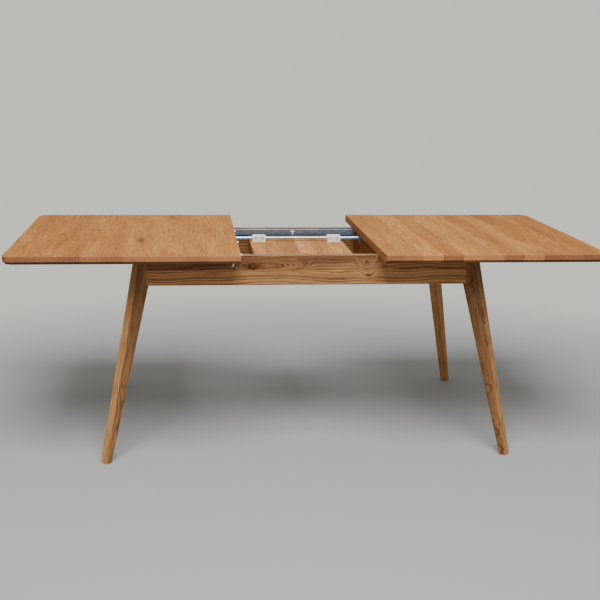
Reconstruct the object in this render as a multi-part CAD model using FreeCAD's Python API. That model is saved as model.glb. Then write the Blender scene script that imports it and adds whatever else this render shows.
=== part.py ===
import FreeCAD, Part
import math
import os

# Extension dining table: two top halves drawn apart on steel runners, over a folded leaf.
# Millimetres. The origin is on the floor under the middle of the table, +X runs along its
# length, +Y to its back and +Z up. The halves are drawn out and the leaf lies folded in the well.

V = FreeCAD.Vector
LENGTHWISE = V(1, 0, 0)
UP = V(0, 0, 1)
DOWN = V(0, 0, -1)

# Top boards
TABLE_HEIGHT = 750.0
TOP_THICKNESS = 28.0
TOP_WIDTH = 900.0
TOP_HALF_LENGTH = 800.0
TOP_CORNER_RADIUS = 35.0
EDGE_BEVEL_HEIGHT = 10.0
EDGE_BEVEL_DEPTH = 8.0
EDGE_EASING = 1.2

# Folding leaf: each half is drawn past half the leaf's length by the side room
LEAF_LENGTH = 370.0
LEAF_SIDE_ROOM = 65.0
LEAF_JOINT_GAP = 0.25
LEAF_BACK_CLEARANCE = 21.0
LEAF_FRONT_CLEARANCE = 51.0
LEAF_REST_GAP = 0.2

# Apron frame
APRON_INSET_X = 200.0
APRON_HEIGHT = 107.5
APRON_THICKNESS = 25.0
APRON_TO_TOP = 1.0
APRON_EDGE_ROUND = 2.0
CROSS_RAIL_THICKNESS = 25.0
CROSS_RAIL_SET_BACK = 10.0
CROSS_RAIL_DROP = 3.0
RUNNER_NOTCH_ROOM = 1.0
REST_BAR_SIZE = 20.0
REST_BAR_INSET = 60.0

# Legs: planks in the corner diagonals
LEG_THICKNESS = 31.0
LEG_TOP_OVERHANG = 14.0
LEG_TOP_DEPTH = 43.0
LEG_FOOT_DEPTH = 26.0
FOOT_INSET = 6.5
LEG_EDGE_ROUND = 3.0

# Corner blocks and the hanger bolts through them
BLOCK_REACH = 45.0
BLOCK_LIFT = 7.0
BLOCK_TO_RUNNER = 5.0
BOLT_DIAMETER = 8.0
BOLT_SPACING = 36.0
BOLT_DEPTH_IN_LEG = 34.0
BOLT_TAIL = 4.0
BOLT_HOLE_PLAY = 0.5
NUT_ACROSS_FLATS = 13.0
NUT_HEIGHT = 6.5
WASHER_DIAMETER = 20.0
WASHER_THICKNESS = 1.6

# Runners on the aprons and the sliders under the halves
RUNNER_WIDTH = 14.0
RUNNER_HEIGHT = 26.0
RUNNER_WALL = 1.5
RUNNER_BEND = 2.5
RUNNER_SLOT = 7.0
RUNNER_END_GAP = 1.0
RUNNER_SCREWS_PER_SIDE = 5
RUNNER_SCREW_DIAMETER = 3.5
RUNNER_SCREW_LENGTH = 20.0
RUNNER_SCREW_FIRST = 89.0
RUNNER_SCREW_MARGIN = 29.0
RUNNER_SCREW_LIFT = 8.5
ACCESS_HOLE_PLAY = 0.5
SLIDER_CLEARANCE = 0.5
SLIDER_TO_RUNNER = 0.4
SLIDER_FLANGE_THICKNESS = 1.5
SLIDER_FLANGE_WIDTH = 28.0
SLIDER_SET_BACK = 5.0
SLIDER_END_GAP = 20.0
SLIDER_SCREWS = 3
SLIDER_SCREW_DIAMETER = 4.0
SLIDER_SCREW_LENGTH = 16.0
SLIDER_SCREW_MARGIN = 25.0
STOP_THICKNESS = 2.0
STOP_BAR_LENGTH = 16.0
STOP_BAR_HEIGHT = 5.0
STOP_STEM_WIDTH = 6.0
STOP_STEM_HEIGHT = 11.0
STOP_DROP = 7.0
STOP_PEG_DIAMETER = 4.0
STOP_PEG_REACH = 5.0

# Pivot rod of the leaf
PIVOT_DROP = 13.0
ROD_DIAMETER = 10.0
ROD_FIT = 0.05
ROD_END_GAP = 0.5
SLEEVE_DIAMETER = 13.0
SLEEVE_END_GAP = 5.0
BRACKET_WIDTH = 40.0
BRACKET_THICKNESS = 3.0
BRACKET_ABOVE = 8.5
BRACKET_BELOW = 24.0
BRACKET_CORNER = 4.0
BRACKET_SCREW_SPACING = 26.0
BRACKET_SCREW_DROP = 15.0
BRACKET_SCREW_DIAMETER = 4.0
BRACKET_SCREW_LENGTH = 18.0
PIVOT_BLOCK_LENGTH = 51.0
PIVOT_BLOCK_WIDTH = 36.0
PIVOT_BLOCK_ABOVE = 11.0
PIVOT_BLOCK_INSET = 10.0
PIVOT_BLOCK_ROUND = 4.0
PIVOT_BLOCK_GROOVE = 3.0
PIVOT_BLOCK_GROOVE_INSET = 5.0
PIVOT_BLOCK_GROOVE_END_INSET = 8.0
PIVOT_SCREW_DIAMETER = 4.0
PIVOT_SCREW_IN_LEAF = 14.0
PIVOT_SCREW_OFFSET = 10.0

# Dowels in the joint edges
DOWEL_DIAMETER = 8.0
DOWEL_PROUD = 8.0
DOWEL_EMBED = 22.0
DOWEL_POINT = 1.5
DOWEL_PITCH = 240.0
DOWEL_HOLE_PLAY = 0.3
DOWEL_HOLE_SPARE = 2.0

# Hinges between the two leaf boards
HINGE_COUNT = 3
HINGE_PITCH = 130.0
HINGE_BARREL_DIAMETER = 12.0
HINGE_BARREL_DEPTH = 14.0
HINGE_LINK_WIDTH = 7.0
HINGE_LINK_THICKNESS = 2.5

# Latches under the halves
LATCH_INSET_X = 26.0
LATCH_INSET_Y = 50.0
LATCH_PLATE_LENGTH = 40.0
LATCH_PLATE_WIDTH = 30.0
LATCH_PLATE_THICKNESS = 2.5
LATCH_SCREW_SPACING = 28.0
LATCH_SCREW_DIAMETER = 3.0
LATCH_SCREW_LENGTH = 14.0
KEEPER_LENGTH = 30.0
KEEPER_WIDTH = 20.0
KEEPER_SCREW_SPACING = 20.0
KEEPER_STUD_DIAMETER = 5.0
KEEPER_HEAD_HEIGHT = 1.5
RIVET_DIAMETER = 6.0
RIVET_HEAD_DIAMETER = 11.0
RIVET_HEAD_HEIGHT = 2.0
HOOK_WIDTH = 16.0
HOOK_THICKNESS = 3.0
HOOK_PLAY = 0.2
HOOK_TIP = 9.0
HOOK_NOTCH_PLAY = 1.0
HOOK_TAIL = 14.0
HOOK_TAIL_WIDTH = 12.0
HOOK_TAB_WIDTH = 4.5
HOOK_TAB_LEAN = 6.0
HOOK_TAB_DROP = 10.0
HOOK_TAB_THICKNESS = 2.5

SCREW_FIT = 0.05

# Levels and places that follow from the sizes above
UNDERSIDE = TABLE_HEIGHT - TOP_THICKNESS
APRON_TOP = UNDERSIDE - APRON_TO_TOP
APRON_BOTTOM = APRON_TOP - APRON_HEIGHT
FRAME_X = TOP_HALF_LENGTH - APRON_INSET_X
RUNNER_FACE_Y = (TOP_WIDTH / 2 + LEAF_FRONT_CLEARANCE + LEAF_BACK_CLEARANCE) / 2
WELL_Y = RUNNER_FACE_Y + RUNNER_WIDTH
FRAME_Y = WELL_Y + APRON_THICKNESS
INNER_X = FRAME_X - APRON_THICKNESS
DRAW = LEAF_LENGTH / 2 + LEAF_SIDE_ROOM
CROSS_FACE_X = DRAW + CROSS_RAIL_SET_BACK
CROSS_TOP = APRON_TOP - CROSS_RAIL_DROP
RUNNER_TOP = UNDERSIDE - SLIDER_FLANGE_THICKNESS - SLIDER_TO_RUNNER
RUNNER_BOTTOM = RUNNER_TOP - RUNNER_HEIGHT
RUNNER_MIDDLE_Y = WELL_Y - RUNNER_WIDTH / 2
PIVOT_Y = (RUNNER_FACE_Y - LEAF_BACK_CLEARANCE) / 2
PIVOT_Z = UNDERSIDE - PIVOT_DROP
LEAF_STORED_TOP = PIVOT_Z - PIVOT_DROP
LEAF_STORED_BOTTOM = LEAF_STORED_TOP - 2 * TOP_THICKNESS
LEAF_FOLD_Y = 2 * PIVOT_Y - LEAF_JOINT_GAP
LEAF_FRONT_Y = 2 * PIVOT_Y - TOP_WIDTH / 2
MITRE = LEG_THICKNESS / 2 * math.sqrt(2)
LEG_INNER = LEG_TOP_OVERHANG - LEG_TOP_DEPTH
FOOT_OUTER = (TOP_WIDTH / 2 - FOOT_INSET - FRAME_Y) * math.sqrt(2) - LEG_THICKNESS / 2
DOWEL_ROWS = [DOWEL_PITCH * (row - 1.5) for row in range(4)]
DOWEL_LEVEL = UNDERSIDE + TOP_THICKNESS / 2


def box(x0, x1, y0, y1, z0, z1):
    """Block between two corners, given in any order."""
    low = V(min(x0, x1), min(y0, y1), min(z0, z1))
    return Part.makeBox(abs(x1 - x0), abs(y1 - y0), abs(z1 - z0), low)


def prism(points, along):
    """Straight solid on a closed outline of points."""
    return Part.Face(Part.makePolygon([*points, points[0]])).extrude(along)


def bar(start, end, diameter):
    """Round bar between two points."""
    return Part.makeCylinder(diameter / 2, (end - start).Length, start, end - start)


def turned(profile, seat, direction):
    """Turned piece from (radius, distance) points, seated at a point and facing a direction."""
    points = [V(radius, 0, distance) for radius, distance in profile]
    solid = Part.Face(Part.makePolygon([*points, points[0]])).revolve(V(0, 0, 0), UP, 360)
    solid.Placement = FreeCAD.Placement(seat, FreeCAD.Rotation(UP, direction))
    return solid


def screw(seat, direction, diameter, length, fit=0.0):
    """Countersunk screw with its head flush at the seat; a fit above zero gives its hole."""
    shank = diameter / 2 + fit
    head = diameter + fit
    sink = diameter / 2
    profile = [(0, 0), (head, 0), (shank, sink), (shank, length - shank), (0, length + fit)]
    return turned(profile, seat, direction)


def screw_row(seats, direction, diameter, length):
    """The screws at a row of seats, and the holes that they need."""
    screws = [screw(seat, direction, diameter, length) for seat in seats]
    holes = [screw(seat, direction, diameter, length, SCREW_FIT) for seat in seats]
    return screws, holes


def spread(start, end, margin, count):
    """Evenly spread places between two ends, kept a margin away from both."""
    step = (end - start - 2 * margin) / (count - 1)
    return [start + margin + step * place for place in range(count)]


def cut(solid, tools):
    """A solid with every tool taken out of it."""
    return solid.cut(Part.makeCompound(tools)) if tools else solid


def flip_left(shape):
    """The mirror image at the table's left end."""
    return shape.mirror(V(0, 0, 0), V(1, 0, 0))


def flip_front(shape):
    """The mirror image at the table's front."""
    return shape.mirror(V(0, 0, 0), V(0, 1, 0))


def rounded(solid, radius, wanted):
    """A solid with the wanted edges rounded."""
    return solid.makeFillet(radius, [edge for edge in solid.Edges if wanted(edge)])


def runs_along(edge, direction):
    """Whether an edge is straight and runs along a direction of length one."""
    chord = edge.Vertexes[-1].Point - edge.Vertexes[0].Point
    return abs(abs(chord.dot(direction)) - edge.Length) < 1e-6


def corner_point(distance, offset, level):
    """Point at the back right corner: distance out along the diagonal, offset square to it."""
    diagonal = V(1, 1, 0).normalize()
    square = V(1, -1, 0).normalize()
    return V(FRAME_X, FRAME_Y, level) + diagonal * distance + square * offset


def top_outline(inset, level):
    """Outline of the right half at one level; its straight inner edge keeps its place."""
    inner = DRAW
    outer = DRAW + TOP_HALF_LENGTH - inset
    side = TOP_WIDTH / 2 - inset
    radius = TOP_CORNER_RADIUS - inset
    middle = radius * (1 - math.sqrt(0.5))

    def corner(sign):
        ends = [V(outer - radius, sign * side, level), V(outer, sign * (side - radius), level)]
        return ends[0], V(outer - middle, sign * (side - middle), level), ends[1]

    front = corner(-1)
    back = corner(1)
    inner_front = V(inner, -side, level)
    inner_back = V(inner, side, level)
    edges = [
        Part.makeLine(inner_front, front[0]),
        Part.Arc(*front).toShape(),
        Part.makeLine(front[2], back[2]),
        Part.Arc(back[2], back[1], back[0]).toShape(),
        Part.makeLine(back[0], inner_back),
        Part.makeLine(inner_back, inner_front),
    ]
    return Part.Wire(edges)


def top_board():
    """Right half: bevelled from below on its three outer edges and square at the inner one."""
    sections = [
        top_outline(EDGE_BEVEL_DEPTH, UNDERSIDE),
        top_outline(0.0, UNDERSIDE + EDGE_BEVEL_HEIGHT),
        top_outline(0.0, TABLE_HEIGHT - EDGE_EASING),
        top_outline(EDGE_EASING, TABLE_HEIGHT),
    ]
    return Part.makeLoft(sections, True, True)


def dowel(edge_x, row):
    """Dowel in an edge that faces +X, with a pointed free end."""
    radius = DOWEL_DIAMETER / 2
    tip = DOWEL_EMBED + DOWEL_PROUD
    profile = [(0, 0), (radius, 0), (radius, tip - DOWEL_POINT), (radius - DOWEL_POINT, tip), (0, tip)]
    return turned(profile, V(edge_x - DOWEL_EMBED, row, DOWEL_LEVEL), LENGTHWISE)


def dowel_bore(edge_x, row):
    """Tight bore for a dowel in an edge that faces +X."""
    start = V(edge_x - DOWEL_EMBED, row, DOWEL_LEVEL)
    return bar(start, V(edge_x + DOWEL_PROUD, row, DOWEL_LEVEL), DOWEL_DIAMETER + 2 * SCREW_FIT)


def dowel_socket(edge_x, row):
    """Loose socket for a dowel's free end in an edge that faces -X."""
    depth = DOWEL_PROUD + DOWEL_HOLE_SPARE
    start = V(edge_x - DOWEL_PROUD, row, DOWEL_LEVEL)
    return bar(start, V(edge_x + depth, row, DOWEL_LEVEL), DOWEL_DIAMETER + 2 * DOWEL_HOLE_PLAY)


def apron_boards():
    """The four aprons, their ends mitred along the faces of the legs."""
    boards = {}
    along = [FRAME_X - MITRE, FRAME_X - MITRE - APRON_THICKNESS]
    across = [FRAME_Y - MITRE, FRAME_Y - MITRE - APRON_THICKNESS]
    long_plan = [
        V(-along[0], FRAME_Y, APRON_BOTTOM),
        V(along[0], FRAME_Y, APRON_BOTTOM),
        V(along[1], WELL_Y, APRON_BOTTOM),
        V(-along[1], WELL_Y, APRON_BOTTOM),
    ]
    short_plan = [
        V(FRAME_X, -across[0], APRON_BOTTOM),
        V(FRAME_X, across[0], APRON_BOTTOM),
        V(INNER_X, across[1], APRON_BOTTOM),
        V(INNER_X, -across[1], APRON_BOTTOM),
    ]

    def at_bottom(edge):
        return edge.BoundBox.ZMax < APRON_BOTTOM + 1e-6

    def eased(plan, direction):
        board = prism(plan, UP * APRON_HEIGHT)
        return rounded(board, APRON_EDGE_ROUND, lambda edge: at_bottom(edge) and runs_along(edge, direction))

    boards["apron_back"] = eased(long_plan, LENGTHWISE)
    boards["apron_front"] = flip_front(boards["apron_back"])
    boards["apron_right"] = eased(short_plan, V(0, 1, 0))
    boards["apron_left"] = flip_left(boards["apron_right"])
    return boards


def leg():
    """Back right leg: a plank in the corner diagonal, slanting out and tapering to the floor."""
    half = LEG_THICKNESS / 2
    outline = [
        corner_point(FOOT_OUTER, -half, 0.0),
        corner_point(FOOT_OUTER - LEG_FOOT_DEPTH, -half, 0.0),
        corner_point(LEG_INNER, -half, APRON_BOTTOM),
        corner_point(LEG_INNER, -half, APRON_TOP),
        corner_point(LEG_TOP_OVERHANG, -half, APRON_TOP),
    ]
    plank = prism(outline, V(1, -1, 0).normalize() * LEG_THICKNESS)
    return rounded(plank, LEG_EDGE_ROUND, lambda edge: edge.Length > APRON_BOTTOM / 2)


def corner_block():
    """Block behind the back right leg; its nose fills the slot between the mitred aprons."""
    bottom = APRON_BOTTOM + BLOCK_LIFT
    half = LEG_THICKNESS / 2
    near_x = FRAME_X - MITRE - APRON_THICKNESS
    near_y = FRAME_Y - MITRE - APRON_THICKNESS
    plan = [
        corner_point(LEG_INNER, -half, bottom),
        corner_point(LEG_INNER, half, bottom),
        V(INNER_X, near_y, bottom),
        V(INNER_X, near_y - BLOCK_REACH, bottom),
        V(near_x - BLOCK_REACH, WELL_Y, bottom),
        V(near_x, WELL_Y, bottom),
    ]
    return prism(plan, UP * (RUNNER_BOTTOM - BLOCK_TO_RUNNER - bottom))


def block_face():
    """Where the inner face of a corner block crosses the diagonal, measured along it."""
    face = V(FRAME_X - MITRE - APRON_THICKNESS - BLOCK_REACH, WELL_Y, 0)
    return (face - V(FRAME_X, FRAME_Y, 0)).dot(V(1, 1, 0).normalize())


def leg_fasteners():
    """Hanger bolts, washers and nuts of the back right leg, and the holes for the bolts."""
    middle = (APRON_BOTTOM + BLOCK_LIFT + RUNNER_BOTTOM - BLOCK_TO_RUNNER) / 2
    face = block_face()
    outward = V(1, 1, 0).normalize()
    hex_radius = NUT_ACROSS_FLATS / math.sqrt(3)
    bolts, washers, nuts, tight_holes, loose_holes = [], [], [], [], []
    for level in (middle - BOLT_SPACING / 2, middle + BOLT_SPACING / 2):
        seat = corner_point(face, 0.0, level)
        under_washer = seat - outward * WASHER_THICKNESS
        under_nut = under_washer - outward * NUT_HEIGHT
        tail = under_nut - outward * BOLT_TAIL
        point = corner_point(LEG_INNER + BOLT_DEPTH_IN_LEG, 0.0, level)
        bolts.append(bar(tail, point, BOLT_DIAMETER))
        tight_holes.append(bar(tail, point, BOLT_DIAMETER + 2 * SCREW_FIT))
        loose_holes.append(bar(tail, point, BOLT_DIAMETER + 2 * BOLT_HOLE_PLAY))
        ring = bar(under_washer, seat, WASHER_DIAMETER)
        washers.append(ring.cut(loose_holes[-1]))
        corners = [math.radians(60 * side) for side in range(6)]
        square = V(1, -1, 0).normalize()
        hexagon = [
            under_nut + square * (hex_radius * math.cos(turn)) + UP * (hex_radius * math.sin(turn))
            for turn in corners
        ]
        nuts.append(prism(hexagon, outward * NUT_HEIGHT).cut(tight_holes[-1]))
    return bolts, washers, nuts, tight_holes, loose_holes


def four_corners(shape):
    """A back right piece and its three mirror images, by corner name."""
    return {
        "back_right": shape,
        "back_left": flip_left(shape),
        "front_right": flip_front(shape),
        "front_left": flip_left(flip_front(shape)),
    }


def legs_and_blocks():
    """Legs, corner blocks and the three groups of fasteners that join them."""
    nodes = {}
    bolts, washers, nuts, tight_holes, loose_holes = leg_fasteners()
    for name, shape in four_corners(cut(leg(), tight_holes)).items():
        nodes["leg_" + name] = shape
    for name, shape in four_corners(cut(corner_block(), loose_holes)).items():
        nodes["corner_block_" + name] = shape
    groups = {"leg_bolts": bolts, "leg_washers": washers, "leg_nuts": nuts}
    for group, pieces in groups.items():
        everywhere = [list(four_corners(piece).values()) for piece in pieces]
        nodes[group] = Part.makeCompound([piece for corners in everywhere for piece in corners])
    return nodes


def rounded_tube(wall_in, length_x):
    """Rounded rectangle of the back runner's section, shrunk by a wall, along the whole runner."""
    radius = RUNNER_BEND - wall_in
    solid = box(
        -length_x,
        length_x,
        RUNNER_FACE_Y + wall_in,
        WELL_Y - wall_in,
        RUNNER_BOTTOM + wall_in,
        RUNNER_TOP - wall_in,
    )
    return rounded(solid, radius, lambda edge: runs_along(edge, LENGTHWISE))


def runner_and_screws():
    """Back runner: a folded steel channel with a slot along its top, screwed to the apron."""
    end = INNER_X - RUNNER_END_GAP
    channel = rounded_tube(0.0, end).cut(rounded_tube(RUNNER_WALL, end))
    slot = box(
        -end,
        end,
        RUNNER_MIDDLE_Y - RUNNER_SLOT / 2,
        RUNNER_MIDDLE_Y + RUNNER_SLOT / 2,
        RUNNER_TOP - 2 * RUNNER_WALL,
        RUNNER_TOP,
    )
    level = RUNNER_BOTTOM + RUNNER_SCREW_LIFT
    step = (end - RUNNER_SCREW_MARGIN - RUNNER_SCREW_FIRST) / (RUNNER_SCREWS_PER_SIDE - 1)
    side = [RUNNER_SCREW_FIRST + step * place for place in range(RUNNER_SCREWS_PER_SIDE)]
    places = [*side, *[-place for place in side]]
    seats = [V(place, WELL_Y - RUNNER_WALL, level) for place in places]
    screws, holes = screw_row(seats, V(0, 1, 0), RUNNER_SCREW_DIAMETER, RUNNER_SCREW_LENGTH)
    access_diameter = 2 * (RUNNER_SCREW_DIAMETER + ACCESS_HOLE_PLAY)
    access = [
        bar(V(place, RUNNER_FACE_Y - 1, level), V(place, RUNNER_MIDDLE_Y, level), access_diameter)
        for place in places
    ]
    peg_hole = stop_peg(STOP_PEG_DIAMETER + 2 * SCREW_FIT)
    return cut(channel, [slot, *holes, *access, peg_hole]), screws, holes


def stop_peg(diameter):
    """Peg of the back runner's stop, through the runner's face into the sliders' way."""
    level = RUNNER_TOP - STOP_DROP - STOP_BAR_HEIGHT / 2
    end = V(0, RUNNER_FACE_Y + RUNNER_WALL + STOP_PEG_REACH, level)
    return bar(V(0, RUNNER_FACE_Y - STOP_THICKNESS / 2, level), end, diameter)


def runner_stop():
    """Plastic stop at the middle of the back runner: a T on its face with a peg behind."""
    face = RUNNER_FACE_Y
    outside = face - STOP_THICKNESS
    bar_top = RUNNER_TOP - STOP_DROP
    bar_bottom = bar_top - STOP_BAR_HEIGHT
    stem_bottom = bar_bottom - STOP_STEM_HEIGHT
    head = box(-STOP_BAR_LENGTH / 2, STOP_BAR_LENGTH / 2, outside, face, bar_bottom, bar_top)
    stem = box(-STOP_STEM_WIDTH / 2, STOP_STEM_WIDTH / 2, outside, face, stem_bottom, bar_bottom)
    return head.multiFuse([stem, stop_peg(STOP_PEG_DIAMETER)]).removeSplitter()


def slider_and_screws():
    """Back right slider: a bar in the runner, a web through its slot and a flange under the top."""
    start = DRAW + SLIDER_SET_BACK
    end = INNER_X - SLIDER_END_GAP
    foot_half = RUNNER_WIDTH / 2 - RUNNER_WALL - SLIDER_CLEARANCE
    web_half = RUNNER_SLOT / 2 - SLIDER_CLEARANCE
    foot_bottom = RUNNER_BOTTOM + RUNNER_WALL + SLIDER_CLEARANCE
    foot_top = RUNNER_TOP - RUNNER_WALL - SLIDER_CLEARANCE
    flange_bottom = UNDERSIDE - SLIDER_FLANGE_THICKNESS
    flange_outer = WELL_Y - SLIDER_CLEARANCE
    flange_inner = flange_outer - SLIDER_FLANGE_WIDTH
    middle = RUNNER_MIDDLE_Y
    section = [
        V(start, middle - foot_half, foot_bottom),
        V(start, middle + foot_half, foot_bottom),
        V(start, middle + foot_half, foot_top),
        V(start, middle + web_half, foot_top),
        V(start, middle + web_half, flange_bottom),
        V(start, flange_outer, flange_bottom),
        V(start, flange_outer, UNDERSIDE),
        V(start, flange_inner, UNDERSIDE),
        V(start, flange_inner, flange_bottom),
        V(start, middle - web_half, flange_bottom),
        V(start, middle - web_half, foot_top),
        V(start, middle - foot_half, foot_top),
    ]
    solid = prism(section, LENGTHWISE * (end - start))
    row = (flange_inner + RUNNER_FACE_Y) / 2
    seats = [V(place, row, flange_bottom) for place in spread(start, end, SLIDER_SCREW_MARGIN, SLIDER_SCREWS)]
    screws, holes = screw_row(seats, UP, SLIDER_SCREW_DIAMETER, SLIDER_SCREW_LENGTH)
    return cut(solid, holes), screws, holes


def cross_rail():
    """Right cross rail between the long aprons, notched at both ends for the runners."""
    rail = box(
        CROSS_FACE_X,
        CROSS_FACE_X + CROSS_RAIL_THICKNESS,
        -WELL_Y,
        WELL_Y,
        APRON_BOTTOM,
        CROSS_TOP,
    )
    notch = box(
        CROSS_FACE_X,
        CROSS_FACE_X + CROSS_RAIL_THICKNESS,
        RUNNER_FACE_Y - RUNNER_NOTCH_ROOM,
        WELL_Y,
        RUNNER_BOTTOM - RUNNER_NOTCH_ROOM,
        CROSS_TOP,
    )
    return cut(rail, [notch, flip_front(notch)])


def rest_bar():
    """Bar between the cross rails that the folded leaf rests on."""
    middle = LEAF_FRONT_Y + REST_BAR_INSET
    top = LEAF_STORED_BOTTOM - LEAF_REST_GAP
    half = REST_BAR_SIZE / 2
    return box(-CROSS_FACE_X, CROSS_FACE_X, middle - half, middle + half, top - REST_BAR_SIZE, top)


def rod_bracket():
    """Right end plate of the pivot rod, and its screws and their holes."""
    inner = CROSS_FACE_X - BRACKET_THICKNESS
    plate = box(
        inner,
        CROSS_FACE_X,
        PIVOT_Y - BRACKET_WIDTH / 2,
        PIVOT_Y + BRACKET_WIDTH / 2,
        PIVOT_Z - BRACKET_BELOW,
        PIVOT_Z + BRACKET_ABOVE,
    )
    plate = rounded(plate, BRACKET_CORNER, lambda edge: runs_along(edge, LENGTHWISE))
    bore = bar(V(inner, PIVOT_Y, PIVOT_Z), V(CROSS_FACE_X, PIVOT_Y, PIVOT_Z), ROD_DIAMETER + 2 * ROD_FIT)
    seats = [
        V(inner, PIVOT_Y + side * BRACKET_SCREW_SPACING / 2, PIVOT_Z - BRACKET_SCREW_DROP)
        for side in (-1, 1)
    ]
    screws, holes = screw_row(seats, LENGTHWISE, BRACKET_SCREW_DIAMETER, BRACKET_SCREW_LENGTH)
    return cut(plate, [bore, *holes]), screws, holes


def pivot_rod():
    """Steel rod that the leaf turns on."""
    end = CROSS_FACE_X - ROD_END_GAP
    return bar(V(-end, PIVOT_Y, PIVOT_Z), V(end, PIVOT_Y, PIVOT_Z), ROD_DIAMETER)


def rod_sleeve():
    """Right sleeve, which fills the rod between the pivot block and the bracket."""
    start = V(LEAF_LENGTH / 2 - PIVOT_BLOCK_INSET + SLEEVE_END_GAP, PIVOT_Y, PIVOT_Z)
    end = V(CROSS_FACE_X - BRACKET_THICKNESS, PIVOT_Y, PIVOT_Z)
    return bar(start, end, SLEEVE_DIAMETER).cut(bar(start, end, ROD_DIAMETER + 2 * ROD_FIT))


def pivot_block():
    """Right pivot block: a saddle on the leaf, bored for the rod, with a grooved face, and its screws."""
    outer = LEAF_LENGTH / 2 - PIVOT_BLOCK_INSET
    inner = outer - PIVOT_BLOCK_LENGTH
    half = PIVOT_BLOCK_WIDTH / 2
    top = PIVOT_Z + PIVOT_BLOCK_ABOVE
    solid = box(inner, outer, PIVOT_Y - half, PIVOT_Y + half, LEAF_STORED_TOP, top)
    solid = rounded(
        solid,
        PIVOT_BLOCK_ROUND,
        lambda edge: edge.BoundBox.ZMin > top - 1e-6 and runs_along(edge, LENGTHWISE),
    )

    def panel(side, shrink):
        ends = PIVOT_BLOCK_GROOVE_END_INSET + shrink
        rims = PIVOT_BLOCK_GROOVE_INSET + shrink
        return box(
            inner + ends,
            outer - ends,
            PIVOT_Y + side * half,
            PIVOT_Y + side * (half - PIVOT_BLOCK_GROOVE),
            LEAF_STORED_TOP + rims,
            top - rims,
        )

    grooves = [panel(side, 0.0).cut(panel(side, PIVOT_BLOCK_GROOVE)) for side in (-1, 1)]
    bore = bar(V(inner, PIVOT_Y, PIVOT_Z), V(outer, PIVOT_Y, PIVOT_Z), ROD_DIAMETER + 2 * ROD_FIT)
    middle = (inner + outer) / 2
    seats = [
        V(middle + side * PIVOT_SCREW_OFFSET, PIVOT_Y + side * PIVOT_SCREW_OFFSET, top)
        for side in (-1, 1)
    ]
    length = top - LEAF_STORED_TOP + PIVOT_SCREW_IN_LEAF
    screws, holes = screw_row(seats, DOWN, PIVOT_SCREW_DIAMETER, length)
    return cut(solid, [*grooves, bore, *holes]), screws, holes


def stow(shape):
    """Turns a piece of the laid leaf about the rod into its place in the well."""
    stowed = shape.copy()
    stowed.rotate(V(0, PIVOT_Y, PIVOT_Z), LENGTHWISE, 180)
    return stowed


def fold(shape):
    """Folds a piece of the laid front leaf board onto the back one."""
    folded = shape.copy()
    folded.rotate(V(0, 0, TABLE_HEIGHT), LENGTHWISE, 180)
    return folded


def leaf_board():
    """Back leaf board as it is laid: square at the fold, bevelled like the top at its outer edge."""
    side = TOP_WIDTH / 2
    end = -LEAF_LENGTH / 2
    section = [
        V(end, LEAF_JOINT_GAP, UNDERSIDE),
        V(end, side - EDGE_BEVEL_DEPTH, UNDERSIDE),
        V(end, side, UNDERSIDE + EDGE_BEVEL_HEIGHT),
        V(end, side, TABLE_HEIGHT - EDGE_EASING),
        V(end, side - EDGE_EASING, TABLE_HEIGHT),
        V(end, LEAF_JOINT_GAP, TABLE_HEIGHT),
    ]
    return prism(section, LENGTHWISE * LEAF_LENGTH)


def hinge_barrels():
    """Barrels let into the fold edge of the laid back leaf board."""
    places = [HINGE_PITCH * (place - (HINGE_COUNT - 1) / 2) for place in range(HINGE_COUNT)]
    return [
        bar(
            V(place, LEAF_JOINT_GAP, DOWEL_LEVEL),
            V(place, LEAF_JOINT_GAP + HINGE_BARREL_DEPTH, DOWEL_LEVEL),
            HINGE_BARREL_DIAMETER,
        )
        for place in places
    ]


def hinge_link(barrel_a, barrel_b):
    """Link across the fold, from one stowed barrel to the one under it."""
    half = HINGE_LINK_WIDTH / 2
    place = barrel_a.CenterOfMass.x
    levels = sorted([barrel_a.CenterOfMass.z, barrel_b.CenterOfMass.z])
    solid = box(
        place - half,
        place + half,
        LEAF_FOLD_Y,
        LEAF_FOLD_Y + HINGE_LINK_THICKNESS,
        levels[0] - half,
        levels[1] + half,
    )
    return rounded(solid, half - SCREW_FIT, lambda edge: runs_along(edge, V(0, 1, 0)))


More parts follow.
